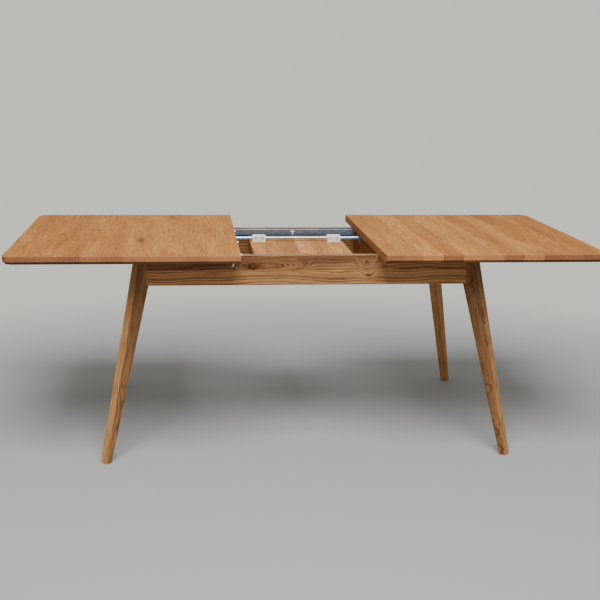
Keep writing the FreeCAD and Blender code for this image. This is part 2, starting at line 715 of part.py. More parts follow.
def leaf_nodes():
    """The folded leaf in the well: boards, hinges, dowels and the blocks on the rod."""
    barrels = hinge_barrels()
    barrel_holes = [
        bar(
            V(barrel.CenterOfMass.x, 0, DOWEL_LEVEL),
            V(barrel.CenterOfMass.x, LEAF_JOINT_GAP + HINGE_BARREL_DEPTH, DOWEL_LEVEL),
            HINGE_BARREL_DIAMETER + 2 * SCREW_FIT,
        )
        for barrel in barrels
    ]
    end = LEAF_LENGTH / 2
    rows = [row for row in DOWEL_ROWS if row > 0]
    pegs = [dowel(end, row) for row in rows]
    bores = [dowel_bore(end, row) for row in rows]
    sockets = [dowel_socket(-end, row) for row in rows]
    back = cut(leaf_board(), [*bores, *sockets, *barrel_holes])
    front = flip_front(back)
    upper = stow(back)
    lower = stow(fold(front))
    upper_barrels = [stow(barrel) for barrel in barrels]
    lower_barrels = [stow(fold(flip_front(barrel))) for barrel in barrels]
    block, screws, holes = pivot_block()
    left_screws = [flip_left(piece) for piece in screws]
    left_holes = [flip_left(hole) for hole in holes]
    links = [hinge_link(*pair) for pair in zip(upper_barrels, lower_barrels)]
    all_pegs = [stow(peg) for peg in pegs] + [stow(fold(flip_front(peg))) for peg in pegs]
    return {
        "leaf_board_upper": cut(upper, [*holes, *left_holes]),
        "leaf_board_lower": lower,
        "leaf_hinge_barrels": Part.makeCompound([*upper_barrels, *lower_barrels]),
        "leaf_hinge_links": Part.makeCompound(links),
        "leaf_dowels": Part.makeCompound(all_pegs),
        "pivot_block_right": block,
        "pivot_block_left": flip_left(block),
        "pivot_block_screws": Part.makeCompound([*screws, *left_screws]),
    }


def latch_place(side_x, side_y):
    """Where a latch turns, or its keeper's stud stands, on the underside of a half."""
    return V(side_x * (DRAW + LATCH_INSET_X), side_y * (TOP_WIDTH / 2 - LATCH_INSET_Y), UNDERSIDE)


def latch_hook():
    """Back hook, turned in: an arm with a notch for the stud and a leaning finger tab behind."""
    reach = 2 * LATCH_INSET_X
    top = UNDERSIDE - LATCH_PLATE_THICKNESS - HOOK_PLAY
    bottom = top - HOOK_THICKNESS
    half = HOOK_WIDTH / 2
    tail_half = HOOK_TAIL_WIDTH / 2
    place = latch_place(-1, 1)
    notch_half = KEEPER_STUD_DIAMETER / 2 + HOOK_NOTCH_PLAY

    def at(x, y, level):
        return V(place.x + x, place.y + y, level)

    arm = box(place.x, place.x + reach + HOOK_TIP, place.y - half, place.y + half, bottom, top)
    eye = bar(at(0, 0, bottom), at(0, 0, top), HOOK_WIDTH)
    tail = box(place.x - HOOK_TAIL, place.x, place.y - tail_half, place.y + tail_half, bottom, top)
    tab_outline = [
        at(-HOOK_TAIL, tail_half, bottom),
        at(-HOOK_TAIL, tail_half - HOOK_TAB_WIDTH, bottom),
        at(-HOOK_TAIL, tail_half - HOOK_TAB_WIDTH - HOOK_TAB_LEAN, bottom - HOOK_TAB_DROP),
        at(-HOOK_TAIL, tail_half - HOOK_TAB_LEAN, bottom - HOOK_TAB_DROP),
    ]
    tab = prism(tab_outline, LENGTHWISE * HOOK_TAB_THICKNESS)
    bore = bar(at(0, 0, bottom), at(0, 0, top), RIVET_DIAMETER + 2 * ROD_FIT)
    notch_end = bar(at(reach, 0, bottom), at(reach, 0, top), 2 * notch_half)
    notch = box(
        place.x + reach - notch_half,
        place.x + reach + notch_half,
        place.y,
        place.y + half,
        bottom,
        top,
    )
    solid = arm.multiFuse([eye, tail, tab]).removeSplitter()
    hook = cut(solid, [bore, notch_end, notch])
    hook.rotate(place, UP, -90)
    return hook


def latch_plate():
    """Back latch plate on the left half, its rivet and its screws."""
    place = latch_place(-1, 1)
    bottom = UNDERSIDE - LATCH_PLATE_THICKNESS
    half_length = LATCH_PLATE_LENGTH / 2
    half_width = LATCH_PLATE_WIDTH / 2
    plate = box(
        place.x - half_length,
        place.x + half_length,
        place.y - half_width,
        place.y + half_width,
        bottom,
        UNDERSIDE,
    )
    radius = RIVET_DIAMETER / 2
    head = RIVET_HEAD_DIAMETER / 2
    grip = LATCH_PLATE_THICKNESS + HOOK_THICKNESS + 2 * HOOK_PLAY
    profile = [
        (0, 0),
        (radius, 0),
        (radius, grip),
        (head, grip),
        (head, grip + RIVET_HEAD_HEIGHT),
        (0, grip + RIVET_HEAD_HEIGHT),
    ]
    rivet = turned(profile, place, DOWN)
    bore = bar(V(place.x, place.y, bottom), place, RIVET_DIAMETER + 2 * SCREW_FIT)
    seats = [V(place.x + side * LATCH_SCREW_SPACING / 2, place.y, bottom) for side in (-1, 1)]
    screws, holes = screw_row(seats, UP, LATCH_SCREW_DIAMETER, LATCH_SCREW_LENGTH)
    return cut(plate, [bore, *holes]), rivet, screws, holes


def latch_keeper():
    """Back keeper on the right half: a plate with a headed stud, and its screws."""
    place = latch_place(1, 1)
    bottom = UNDERSIDE - LATCH_PLATE_THICKNESS
    plate = box(
        place.x - KEEPER_LENGTH / 2,
        place.x + KEEPER_LENGTH / 2,
        place.y - KEEPER_WIDTH / 2,
        place.y + KEEPER_WIDTH / 2,
        bottom,
        UNDERSIDE,
    )
    radius = KEEPER_STUD_DIAMETER / 2
    head = radius + 2 * HOOK_NOTCH_PLAY
    reach = HOOK_THICKNESS + 4 * HOOK_PLAY
    profile = [
        (0, 0),
        (radius, 0),
        (radius, reach),
        (head, reach),
        (head, reach + KEEPER_HEAD_HEIGHT),
        (0, reach + KEEPER_HEAD_HEIGHT),
    ]
    stud = turned(profile, V(place.x, place.y, bottom), DOWN)
    seats = [V(place.x + side * KEEPER_SCREW_SPACING / 2, place.y, bottom) for side in (-1, 1)]
    screws, holes = screw_row(seats, UP, LATCH_SCREW_DIAMETER, LATCH_SCREW_LENGTH)
    return cut(plate.fuse(stud), holes), screws, holes


def both_sides(pieces):
    """Back pieces and their mirror images at the front."""
    return [*pieces, *[flip_front(piece) for piece in pieces]]


def half_nodes():
    """The two top halves with their sliders, dowels, latches and keepers."""
    slider, slider_screws, slider_holes = slider_and_screws()
    plate, rivet, latch_screws, latch_holes = latch_plate()
    keeper, keeper_screws, keeper_holes = latch_keeper()
    hook = latch_hook()
    board = top_board()
    slider_holes = both_sides(slider_holes)
    sockets = [dowel_socket(DRAW, row) for row in DOWEL_ROWS]
    bores = [dowel_bore(-DRAW, row) for row in DOWEL_ROWS]
    left_holes = [flip_left(hole) for hole in slider_holes]
    all_slider_screws = both_sides(slider_screws)
    return {
        "top_board_right": cut(board, [*sockets, *slider_holes, *both_sides(keeper_holes)]),
        "top_board_left": cut(flip_left(board), [*bores, *left_holes, *both_sides(latch_holes)]),
        "slider_back_right": slider,
        "slider_front_right": flip_front(slider),
        "slider_back_left": flip_left(slider),
        "slider_front_left": flip_left(flip_front(slider)),
        "slider_screws_right": Part.makeCompound(all_slider_screws),
        "slider_screws_left": Part.makeCompound([flip_left(piece) for piece in all_slider_screws]),
        "alignment_dowels": Part.makeCompound([dowel(-DRAW, row) for row in DOWEL_ROWS]),
        "latch_plate_back": plate,
        "latch_plate_front": flip_front(plate),
        "latch_rivets": Part.makeCompound(both_sides([rivet])),
        "latch_screws": Part.makeCompound(both_sides(latch_screws)),
        "latch_hook_back": hook,
        "latch_hook_front": flip_front(hook),
        "latch_keeper_back": keeper,
        "latch_keeper_front": flip_front(keeper),
        "keeper_screws": Part.makeCompound(both_sides(keeper_screws)),
    }


def frame_nodes():
    """Aprons, cross rails, runners, the pivot rod and what holds them."""
    nodes = apron_boards()
    runner, runner_screws, runner_holes = runner_and_screws()
    bracket, bracket_screws, bracket_holes = rod_bracket()
    rail = cross_rail()
    stop = runner_stop()
    sleeve = rod_sleeve()
    nodes["apron_back"] = cut(nodes["apron_back"], runner_holes)
    nodes["apron_front"] = cut(nodes["apron_front"], [flip_front(hole) for hole in runner_holes])
    nodes["cross_rail_right"] = cut(rail, bracket_holes)
    nodes["cross_rail_left"] = flip_left(nodes["cross_rail_right"])
    nodes["runner_back"] = runner
    nodes["runner_front"] = flip_front(runner)
    nodes["runner_screws"] = Part.makeCompound(both_sides(runner_screws))
    nodes["runner_stop_back"] = stop
    nodes["runner_stop_front"] = flip_front(stop)
    nodes["pivot_rod"] = pivot_rod()
    nodes["rod_sleeve_right"] = sleeve
    nodes["rod_sleeve_left"] = flip_left(sleeve)
    nodes["rod_bracket_right"] = bracket
    nodes["rod_bracket_left"] = flip_left(bracket)
    left_screws = [flip_left(piece) for piece in bracket_screws]
    nodes["bracket_screws"] = Part.makeCompound([*bracket_screws, *left_screws])
    nodes["leaf_rest_bar"] = rest_bar()
    return nodes


def main():
    """Builds every node and writes one file for each."""
    os.makedirs("parts", exist_ok=True)
    nodes = {**frame_nodes(), **legs_and_blocks(), **half_nodes(), **leaf_nodes()}
    for name, shape in nodes.items():
        if not shape.isValid():
            raise ValueError("not a valid solid: " + name)
        shape.exportStep("parts/" + name + ".step")
        print(name, len(shape.Solids), round(shape.Volume / 1000, 2), "cm3")


main()
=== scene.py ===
"""Looks of the extension dining table: oiled knotty oak, galvanised runners, zinc rod, white nylon."""

import logging
import math
from collections.abc import Callable, Iterable
from dataclasses import dataclass
from enum import Enum
from functools import partial

import bmesh
import bpy
from bpy.types import Material, MeshPolygon, Modifier, NodeTree, Object
from bpy.types import NodeSocket as Socket
from mathutils import Matrix, Vector


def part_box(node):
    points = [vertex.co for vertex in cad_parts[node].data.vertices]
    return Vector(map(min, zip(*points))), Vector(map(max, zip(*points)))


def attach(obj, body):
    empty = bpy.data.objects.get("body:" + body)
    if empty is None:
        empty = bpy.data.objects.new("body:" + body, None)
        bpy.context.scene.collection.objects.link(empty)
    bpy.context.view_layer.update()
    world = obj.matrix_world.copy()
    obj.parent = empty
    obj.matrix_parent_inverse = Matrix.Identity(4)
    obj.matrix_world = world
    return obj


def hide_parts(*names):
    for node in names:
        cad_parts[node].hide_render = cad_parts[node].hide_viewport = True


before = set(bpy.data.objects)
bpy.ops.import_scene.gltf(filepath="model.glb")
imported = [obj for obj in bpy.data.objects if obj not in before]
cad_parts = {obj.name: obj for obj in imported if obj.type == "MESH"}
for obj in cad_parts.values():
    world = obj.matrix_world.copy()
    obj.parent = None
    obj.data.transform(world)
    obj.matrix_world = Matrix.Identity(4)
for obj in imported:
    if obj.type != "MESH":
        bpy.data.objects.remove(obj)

log = logging.getLogger("table")
Point = tuple[float, float, float]
Put = Callable[..., Socket]

ORIGIN: Point = (0.0, 0.0, 0.0)
# Points of a CAD mesh nearer to each other than this, in metres, are one point
WELD = 1e-6
# Edges shorter than this, in metres, are left over from a cut and not part of a shape
HAIR = 5e-6
# Edges sharper than the first angle are rounded, and those sharper than the second show as edges
ROUNDED, CREASED = math.radians(35), math.radians(40)
# Settings that many nodes share
BLEND = {"out": 2, "data_type": "RGBA"}
SMOOTH = {"interpolation_type": "SMOOTHSTEP"}
TIMES = {"operation": "MULTIPLY"}
SCALED = {"operation": "MULTIPLY_ADD"}


def linear(colour: str) -> tuple[float, float, float, float]:
    """Turns an sRGB hex colour to linear RGBA.

    Args:
        colour: six hex digits after a hash sign.

    Returns:
        Linear red, green, blue and an alpha of one.
    """
    parts = [int(colour[place : place + 2], 16) / 255 for place in (1, 3, 5)]
    red, green, blue = [
        part / 12.92 if part <= 0.04045 else ((part + 0.055) / 1.055) ** 2.4 for part in parts
    ]
    return red, green, blue, 1.0


def add(
    tree: NodeTree,
    kind: str,
    inputs: dict[str | int, object] | None = None,
    out: str | int = 0,
    **settings: object,
) -> Socket | None:
    """Adds a node with its settings and links.

    Args:
        tree: the node tree of a material or of the world.
        kind: the node's type, without the prefix that all shader nodes share.
        inputs: a value for an input, or an output socket to link to it, by the input's name or number.
        out: the name or number of the output that is wanted.
        settings: properties of the node.

    Returns:
        The wanted output socket, if the node has outputs.
    """
    node = tree.nodes.new("ShaderNode" + kind)
    for name, value in settings.items():
        setattr(node, name, value)
    for key, value in (inputs or {}).items():
        if isinstance(value, Socket):
            tree.links.new(value, node.inputs[key])
        else:
            node.inputs[key].default_value = value
    return node.outputs[out] if node.outputs else None


def blank(name: str) -> Material:
    """Returns a new material with an empty node tree.

    Args:
        name: its name.
    """
    made = bpy.data.materials.new(name)
    made.use_nodes = True
    made.node_tree.nodes.clear()
    return made


def dress(material: Material, *nodes: str) -> None:
    """Gives CAD nodes a material in place of their packed one.

    Args:
        material: the finish.
        nodes: names of CAD nodes.
    """
    for name in nodes:
        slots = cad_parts[name].data.materials
        slots.clear()
        slots.append(material)
        log.info("%s: %s", name, material.name)


class Way(Enum):
    """Directions of the table's frame, as seen at its back right corner."""

    LENGTH = (1.0, 0.0, 0.0)
    WIDTH = (0.0, 1.0, 0.0)
    HEIGHT = (0.0, 0.0, 1.0)
    TO_FRONT = (0.0, -1.0, 0.0)
    TO_LEFT = (-1.0, 0.0, 0.0)
    DOWN = (0.0, 0.0, -1.0)
    TO_CORNER = (math.sqrt(0.5), math.sqrt(0.5), 0.0)

    def at(self, place: Vector) -> Vector:
        """Returns the direction at a place, mirrored from the back right corner.

        Args:
            place: a place on the table.
        """
        x, y, z = self.value
        mirrored = [math.copysign(part, at) if part else 0.0 for part, at in zip((x, y), place)]
        return Vector((*mirrored, z))


class Sawn(Enum):
    """How staves were cut from the log.

    Where the pith lies beside them and how far that varies in staves, and its least depth in metres.
    """

    FLAT = (0.0, 0.3, 0.022)
    MIXED = (0.0, 1.6, 0.016)
    RIFT = (1.3, 0.2, 0.03)


@dataclass(frozen=True)
class Tones:
    """Colours of one kind of oak board: light and dark staves, ring lines, end grain and knots."""

    light: str
    dark: str
    line: str
    end_light: str = "#C08A58"
    end_dark: str = "#8A5232"
    knot: str = "#3A1E10"


TOP_TONES = Tones("#C1864D", "#996337", "#734623", end_light="#BD7E50", end_dark="#83533F")
LEAF_TONES = Tones("#D19963", "#A06C43", "#714423")
APRON_TONES = Tones("#B28256", "#78523A", "#3F2313", knot="#411F10")
LEG_TONES = Tones("#C18D5A", "#79573C", "#442715")
# Inner oak for the parts under the top: darker partly as its own tone, partly as painted shade.
INNER_TONES = Tones("#9A592C", "#79421F", "#512C12")


@dataclass(frozen=True)
class Knot:
    """A knot in a board: its place in the table's frame, its radius in metres and its darkness.

    It pushes the rings by a number of radii, out to a reach in radii, and is drawn out along the grain.
    """

    place: Point
    radius: float
    dark: float = 0.8
    push: float = 1.8
    reach: float = 3.4
    drawn_out: float = 1.6


@dataclass(frozen=True)
class Grain:
    """Sockets that a board's looks follow: place in the grain, the stave and its chances, facing."""

    place: Socket
    stretched: Socket
    length: Socket
    depth: Socket
    number: Socket
    inside: Socket
    side: Socket
    below: Socket
    tone: Socket
    to_end: Socket
    to_side: Socket


@dataclass(frozen=True)
class Oak:
    """Oiled oak, sawn to staves, glued edge to edge and planed.

    The eye sees staves of differing tone, growth rings that arch where the saw crossed them, pores drawn
    out along the grain, pale ray flecks, some knots, and redder end grain. The oil is matt.

    The rings' dark line fades over the share `line`, and they bow `bows` times a metre. Each next stave
    is darker by `lean`, those in `odd` by more, and `spread` is left to chance. Sides are paler by
    `edges`, a metre of grain by `grade`: on some boards the wood's own tone, on others painted light and
    shade. Faces that look the way of `dim`, and the sides, are darkened by painted shade.
    """

    name: str
    along: Point
    across: Point
    centre: Point
    tones: Tones
    seed: float
    sawn: Sawn = Sawn.MIXED
    stave: float = 0.0703
    joint: float = 0.0
    ring: float = 0.0052
    line: float = 0.62
    bow: float = 0.03
    bows: float = 3.2
    lean: float = 0.0
    spread: float = 0.75
    contrast: float = 0.6
    flecks: float = 0.34
    clouds: float = 1.3
    streaks: float = 0.3
    # Paler sides and a tone that changes along the grain: the wood's own tone on some boards, painted
    # light and painted shade on others
    edges: float = 0.0
    grade: float = 0.0
    # Painted shade: faces that look the way of dim, downwards by default, and the sides of the staves are
    # darkened towards the shade colour below
    dim: Point = Way.DOWN.value
    painted_shade: float = 0.65
    painted_side_shade: float = 0.0
    painted_shade_colour: str = "#615955"
    knots: tuple[Knot, ...] = ()
    odd: tuple[tuple[int, float], ...] = ()

    @property
    def turn(self) -> Matrix:
        """Turns the table's frame to the grain's: along it, across the staves and down the board."""
        along, across = Vector(self.along).normalized(), Vector(self.across).normalized()
        return Matrix((along, across, along.cross(across)))

    @property
    def start(self) -> Vector:
        """The board's centre, turned to the grain's frame."""
        return self.turn @ Vector(self.centre)

    @property
    def first(self) -> float:
        """Where the stave with the number zero begins, across the board from its centre."""
        return self.joint - self.start.y

    def material(self) -> Material:
        """Returns the board's material, its grain laid along the board."""
        made = blank(self.name)
        put = partial(add, made.node_tree)
        grain = self.grain(put)
        cores, push = self.knotted(put, grain)
        lines, fleck = self.rings(put, grain, push)
        tone, colour = self.ground(put, grain)

        # Pores and fibres: 1.6 mm across and 60 mm long, drawn coarser than life so that they show
        drawn_out = put("VectorMath", {0: grain.place, 1: (0.027, 1.0, 1.0)}, **TIMES)
        fibres = {"Vector": drawn_out, "Scale": 620.0, "Detail": 3.0, "Roughness": 0.6}
        pores = put("MapRange", {0: put("TexNoise", fibres), 1: 0.54, 2: 0.72}, **SMOOTH)

        # Coarser streaks, 6 mm across and 80 mm long
        drawn_out = put("VectorMath", {0: grain.place, 1: (0.075, 1.0, 1.0)}, **TIMES)
        streaks = put("TexNoise", {"Vector": drawn_out, "Scale": 170.0, "Detail": 2.0})
        streaks = put("MapRange", {0: streaks, 1: 0.48, 2: 0.72, 4: self.streaks}, **SMOOTH)

        # Glue lines, drawn about 1 mm wide
        edge = put("Math", {0: grain.inside, 1: 0.5}, operation="SUBTRACT")
        edge = put("Math", {0: edge}, operation="ABSOLUTE")
        glue = put("MapRange", {0: edge, 1: 0.5 - 0.0011 / self.stave, 2: 0.5, 4: 0.3}, **SMOOTH)

        layers = (
            (put("Math", {0: lines, 1: self.contrast}, **TIMES), self.tones.line),
            (put("Math", {0: pores, 1: 0.3}, **TIMES), self.tones.line),
            (streaks, self.tones.line),
            (fleck, self.tones.light),
            *((core, self.tones.knot) for core in cores),
            (glue, self.tones.line),
        )
        for strength, over in layers:
            colour = put("Mix", {0: strength, 6: colour, 7: linear(over)}, **BLEND)

        # End grain, its lines broken up by cut pores, drawn 1.4 mm across so that they show
        shade = put("Math", {0: tone, 1: 1.7, 2: -0.35}, use_clamp=True, **SCALED)
        ends = {0: shade, 6: linear(self.tones.end_light), 7: linear(self.tones.end_dark)}
        cut = put("TexNoise", {"Vector": grain.place, "Scale": 700.0, "Detail": 2.0})
        cut = put("MapRange", {0: cut, 1: 0.3, 2: 0.7, 3: 0.1, 4: 0.5})
        cut = put("Math", {0: lines, 1: cut}, **TIMES)
        ends = put("Mix", {0: cut, 6: put("Mix", ends, **BLEND), 7: linear(self.tones.line)}, **BLEND)
        square = put("MapRange", {0: grain.to_end, 1: 0.45, 2: 0.7}, **SMOOTH)
        colour = put("Mix", {0: square, 6: colour, 7: ends}, **BLEND)

        # Painted shade: faces that look one way, and the sides, are darkened towards a shade colour
        facing = put("TexCoord", out="Normal")
        dim = put("VectorMath", {0: facing, 1: self.dim}, "Value", operation="DOT_PRODUCT")
        dim = put("MapRange", {0: dim, 1: 0.2, 2: 0.6, 4: self.painted_shade}, **SMOOTH)
        sides = put("MapRange", {0: grain.to_side, 1: 0.4, 2: 0.8, 4: self.painted_side_shade}, **SMOOTH)
        dim = put("Math", {0: dim, 1: sides}, operation="MAXIMUM")
        shaded = {0: dim, 6: colour, 7: linear(self.painted_shade_colour)}
        colour = put("Mix", shaded, blend_type="MULTIPLY", **BLEND)

        relief = put("Math", {0: put("Math", {0: lines, 1: 0.5}, **TIMES), 1: pores})
        bump = put("Bump", {"Strength": 0.22, "Distance": 0.0004, "Height": relief}, invert=True)
        satin = put("MapRange", {0: relief, 2: 1.5, 3: 0.56, 4: 0.74})
        finish = {"Base Color": colour, "Roughness": satin, "Normal": bump, "Specular IOR Level": 0.02}
        put("OutputMaterial", {"Surface": put("BsdfPrincipled", finish)})
        return made

    def grain(self, put: Put) -> Grain:
        """Adds the grain's coordinates and the staves.

        Args:
            put: adds a node.

        Returns:
            What the looks follow.
        """
        turn = {"Rotation": self.turn.to_euler()}
        place = put("Mapping", {"Vector": put("TexCoord", out="Object"), "Location": -self.start, **turn})
        stretched = put("VectorMath", {0: place, 1: (0.16, 1.0, 1.0)}, **TIMES)
        length, width, depth = put("SeparateXYZ", {0: place}).node.outputs[:3]
        facing = put("TexCoord", out="Normal")
        facing = put("VectorRotate", {0: facing, **turn}, rotation_type="EULER_XYZ")
        ways = put("SeparateXYZ", {0: facing}).node.outputs[:2]
        to_end, to_side = [put("Math", {0: way}, operation="ABSOLUTE") for way in ways]
        count = put("Math", {0: width, 1: 1 / self.stave, 2: -self.first / self.stave}, **SCALED)
        number = put("Math", {0: count}, operation="FLOOR")
        inside = put("Math", {0: count}, operation="FRACT")
        draw = {"W": put("Math", {0: number, 1: self.seed})}
        chances = put("TexWhiteNoise", draw, "Color", noise_dimensions="1D")
        side, below, tone = put("SeparateColor", {0: chances}).node.outputs[:3]
        return Grain(place, stretched, length, depth, number, inside, side, below, tone, to_end, to_side)

    def knotted(self, put: Put, grain: Grain) -> tuple[list[Socket], Socket | float]:
        """Adds the knots.

        Args:
            put: adds a node.
            grain: what the looks follow.

        Returns:
            The strength of each knot's dark core, and how far the knots push the rings in metres.
        """
        if not self.knots:
            return [], 0.0
        # Outlines are roughened by 11 mm over 20 mm
        shake = 0.011
        rough = put("TexNoise", {"Vector": grain.place, "Scale": 50.0, "Detail": 2.0}, "Color")
        shaken = put("VectorMath", {0: rough, 1: (shake,) * 3, 2: grain.place}, **SCALED)
        cores: list[Socket] = []
        push: Socket | float = 0.0
        for knot in self.knots:
            spot = self.turn @ Vector(knot.place) - self.start + Vector((shake / 2,) * 3)
            eye = put("VectorMath", {0: shaken, 1: spot}, operation="SUBTRACT")
            eye = put("VectorMath", {0: eye, 1: (1 / knot.drawn_out, 1.0, 0.15)}, **TIMES)
            away = put("VectorMath", {0: eye}, "Value", operation="LENGTH")
            core = {0: away, 1: 0.35 * knot.radius, 2: 1.2 * knot.radius, 3: 1.0, 4: 0.0}
            cores.append(put("Math", {0: put("MapRange", core, **SMOOTH), 1: knot.dark}, **TIMES))
            near = {0: away, 1: 0.0, 2: knot.reach * knot.radius, 3: knot.push * knot.radius, 4: 0.0}
            push = put("Math", {0: put("MapRange", near, **SMOOTH), 1: push})
        return cores, push

    def rings(self, put: Put, grain: Grain, push: Socket | float) -> tuple[Socket, Socket]:
        """Adds growth rings about a pith that lies by the stave, bowed and tilted along the grain.

        Args:
            put: adds a node.
            grain: what the looks follow.
            push: how far knots push the rings in metres.

        Returns:
            The strength of the rings' dark lines and of ray flecks.
        """
        lie, vary, least = self.sawn.value
        row = put("Math", {0: grain.number, 1: 0.37 * self.seed})
        bow = {"Vector": put("CombineXYZ", {0: grain.length, 1: row}), "Scale": self.bows, "Detail": 1.0}
        bow = put("Math", {0: put("TexNoise", bow), 1: self.bow, 2: -self.bow / 2}, **SCALED)
        offset = {0: grain.side, 1: 2 * vary * self.stave, 2: (lie - vary) * self.stave}
        offset = put("Math", {0: put("Math", offset, **SCALED), 1: bow})
        beside = put("Math", {0: grain.inside, 1: 0.5}, operation="SUBTRACT")
        beside = put("Math", {0: beside, 1: self.stave, 2: offset}, **SCALED)
        tilt = put("Math", {0: grain.tone, 1: 0.1, 2: -0.05}, **SCALED)
        sunk = put("Math", {0: grain.below, 1: 0.05, 2: least}, **SCALED)
        sunk = put("Math", {0: grain.length, 1: tilt, 2: sunk}, **SCALED)
        sunk = put("Math", {0: put("Math", {0: sunk, 1: bow}), 1: grain.depth})
        radius = put("CombineXYZ", {0: beside, 1: sunk})
        radius = put("VectorMath", {0: radius}, "Value", operation="LENGTH")

        # Rings wander by 6 mm over 18 mm across the grain and 110 mm along it, and differ in width
        wander = put("TexNoise", {"Vector": grain.stretched, "Scale": 55.0, "Detail": 2.0})
        radius = put("Math", {0: wander, 1: 0.006, 2: radius}, **SCALED)
        radius = put("Math", {0: radius, 1: push})
        seasons = put("TexNoise", {"W": radius, "Scale": 80.0, "Detail": 1.0}, noise_dimensions="1D")
        count = put("Math", {0: seasons, 1: 0.011, 2: radius}, **SCALED)
        count = put("Math", {0: count, 1: 1 / self.ring}, **TIMES)
        phase = put("Math", {0: count}, operation="FRACT")
        year = put("Math", {0: count}, operation="FLOOR")
        strength = put("TexWhiteNoise", {"W": year}, noise_dimensions="1D")
        strength = put("MapRange", {0: strength, 3: 0.25, 4: 1.0})
        early = put("MapRange", {0: phase, 1: 0.05, 2: self.line, 3: 1.0, 4: 0.0}, **SMOOTH)
        late = put("MapRange", {0: phase, 1: 0.86, 2: 1.0}, **SMOOTH)
        lines = put("Math", {0: early, 1: late}, operation="MAXIMUM")
        lines = put("Math", {0: lines, 1: strength}, **TIMES)

        # Flecks, about 10 by 14 mm, where the rings stand square to the face
        square = put("Math", {0: beside}, operation="ABSOLUTE")
        square = put("Math", {0: square, 1: radius}, operation="DIVIDE")
        square = put("MapRange", {0: square, 1: 0.55, 2: 0.9, 4: self.flecks}, **SMOOTH)
        drawn_out = put("VectorMath", {0: grain.place, 1: (0.7, 1.0, 1.0)}, **TIMES)
        rays = {"Vector": drawn_out, "Scale": 105.0, "Detail": 1.5, "Distortion": 1.2}
        rays = put("MapRange", {0: put("TexNoise", rays), 1: 0.58, 2: 0.68}, **SMOOTH)
        return lines, put("Math", {0: rays, 1: square}, **TIMES)

    def ground(self, put: Put, grain: Grain) -> tuple[Socket, Socket]:
        """Adds the tone of the stave and the ground colour of its planed faces.

        Args:
            put: adds a node.
            grain: what the looks follow.

        Returns:
            The tone, from 0 for light to 1 for dark, and the colour.
        """
        even = 0.5 - self.spread / 2 + self.lean * self.first / self.stave
        tone = put("Math", {0: grain.tone, 1: self.spread, 2: even}, **SCALED)
        tone = put("Math", {0: grain.number, 1: self.lean, 2: tone}, **SCALED)
        for number, darker in self.odd:
            there = put("Math", {0: grain.number, 1: float(number), 2: 0.5}, operation="COMPARE")
            tone = put("Math", {0: there, 1: darker, 2: tone}, **SCALED)
        # Paler sides and a change along the grain: the wood's own tone on some boards, painted light and
        # painted shade on others
        paler = put("MapRange", {0: grain.to_side, 1: 0.5, 2: 0.8, 4: -self.edges}, **SMOOTH)
        shade = put("Math", {0: tone, 1: paler})
        shade = put("Math", {0: grain.length, 1: -self.grade, 2: shade}, **SCALED)
        # Cloudy tone over 60 mm across the grain and 400 mm along it
        clouds = put("TexNoise", {"Vector": grain.stretched, "Scale": 16.0, "Detail": 3.0})
        clouds = put("Math", {0: clouds, 1: self.clouds, 2: -self.clouds / 2}, **SCALED)
        shade = put("Math", {0: clouds, 1: shade}, use_clamp=True)
        mixed = {0: shade, 6: linear(self.tones.light), 7: linear(self.tones.dark)}
        return tone, put("Mix", mixed, **BLEND)


class Coating(Enum):
    """Coats of steel: light and dark colour, least and greatest roughness, spangles in metres."""

    GALVANISED = ("#9BABBD", "#708295", 0.42, 0.6, 0.011)
    BRIGHT_ZINC = ("#C4DEF8", "#9CB8D4", 0.28, 0.4, 0.004)


@dataclass(frozen=True)
class Steel:
    """Steel with a zinc coat: the eye sees a cool grey metal, clouded by the crystals of the zinc."""

    coating: Coating

    def material(self) -> Material:
        """Returns the steel's material."""
        light, dark, smooth, rough, spangle = self.coating.value
        made = blank("steel_" + self.coating.name.lower())
        put = partial(add, made.node_tree)
        place = put("TexCoord", out="Object")
        crystals = put("TexVoronoi", {"Vector": place, "Scale": 1 / spangle}, "Color")
        grey = put("SeparateColor", {0: crystals})
        cloudy = {"Vector": place, "Scale": 0.3 / spangle, "Detail": 4.0, "Roughness": 0.65}
        marks = put("TexNoise", cloudy)
        clouds = put("MapRange", {0: marks, 1: 0.3, 2: 0.7, 4: 0.55})
        clouds = put("Math", {0: grey, 1: 0.45, 2: clouds}, **SCALED)
        colour = put("Mix", {0: clouds, 6: linear(light), 7: linear(dark)}, **BLEND)
        gloss = put("MapRange", {0: clouds, 3: smooth, 4: rough})
        bump = put("Bump", {"Strength": 0.08, "Distance": 0.0003, "Height": marks})
        finish = {"Base Color": colour, "Metallic": 1.0, "Roughness": gloss, "Normal": bump}
        put("OutputMaterial", {"Surface": put("BsdfPrincipled", finish)})
        return made


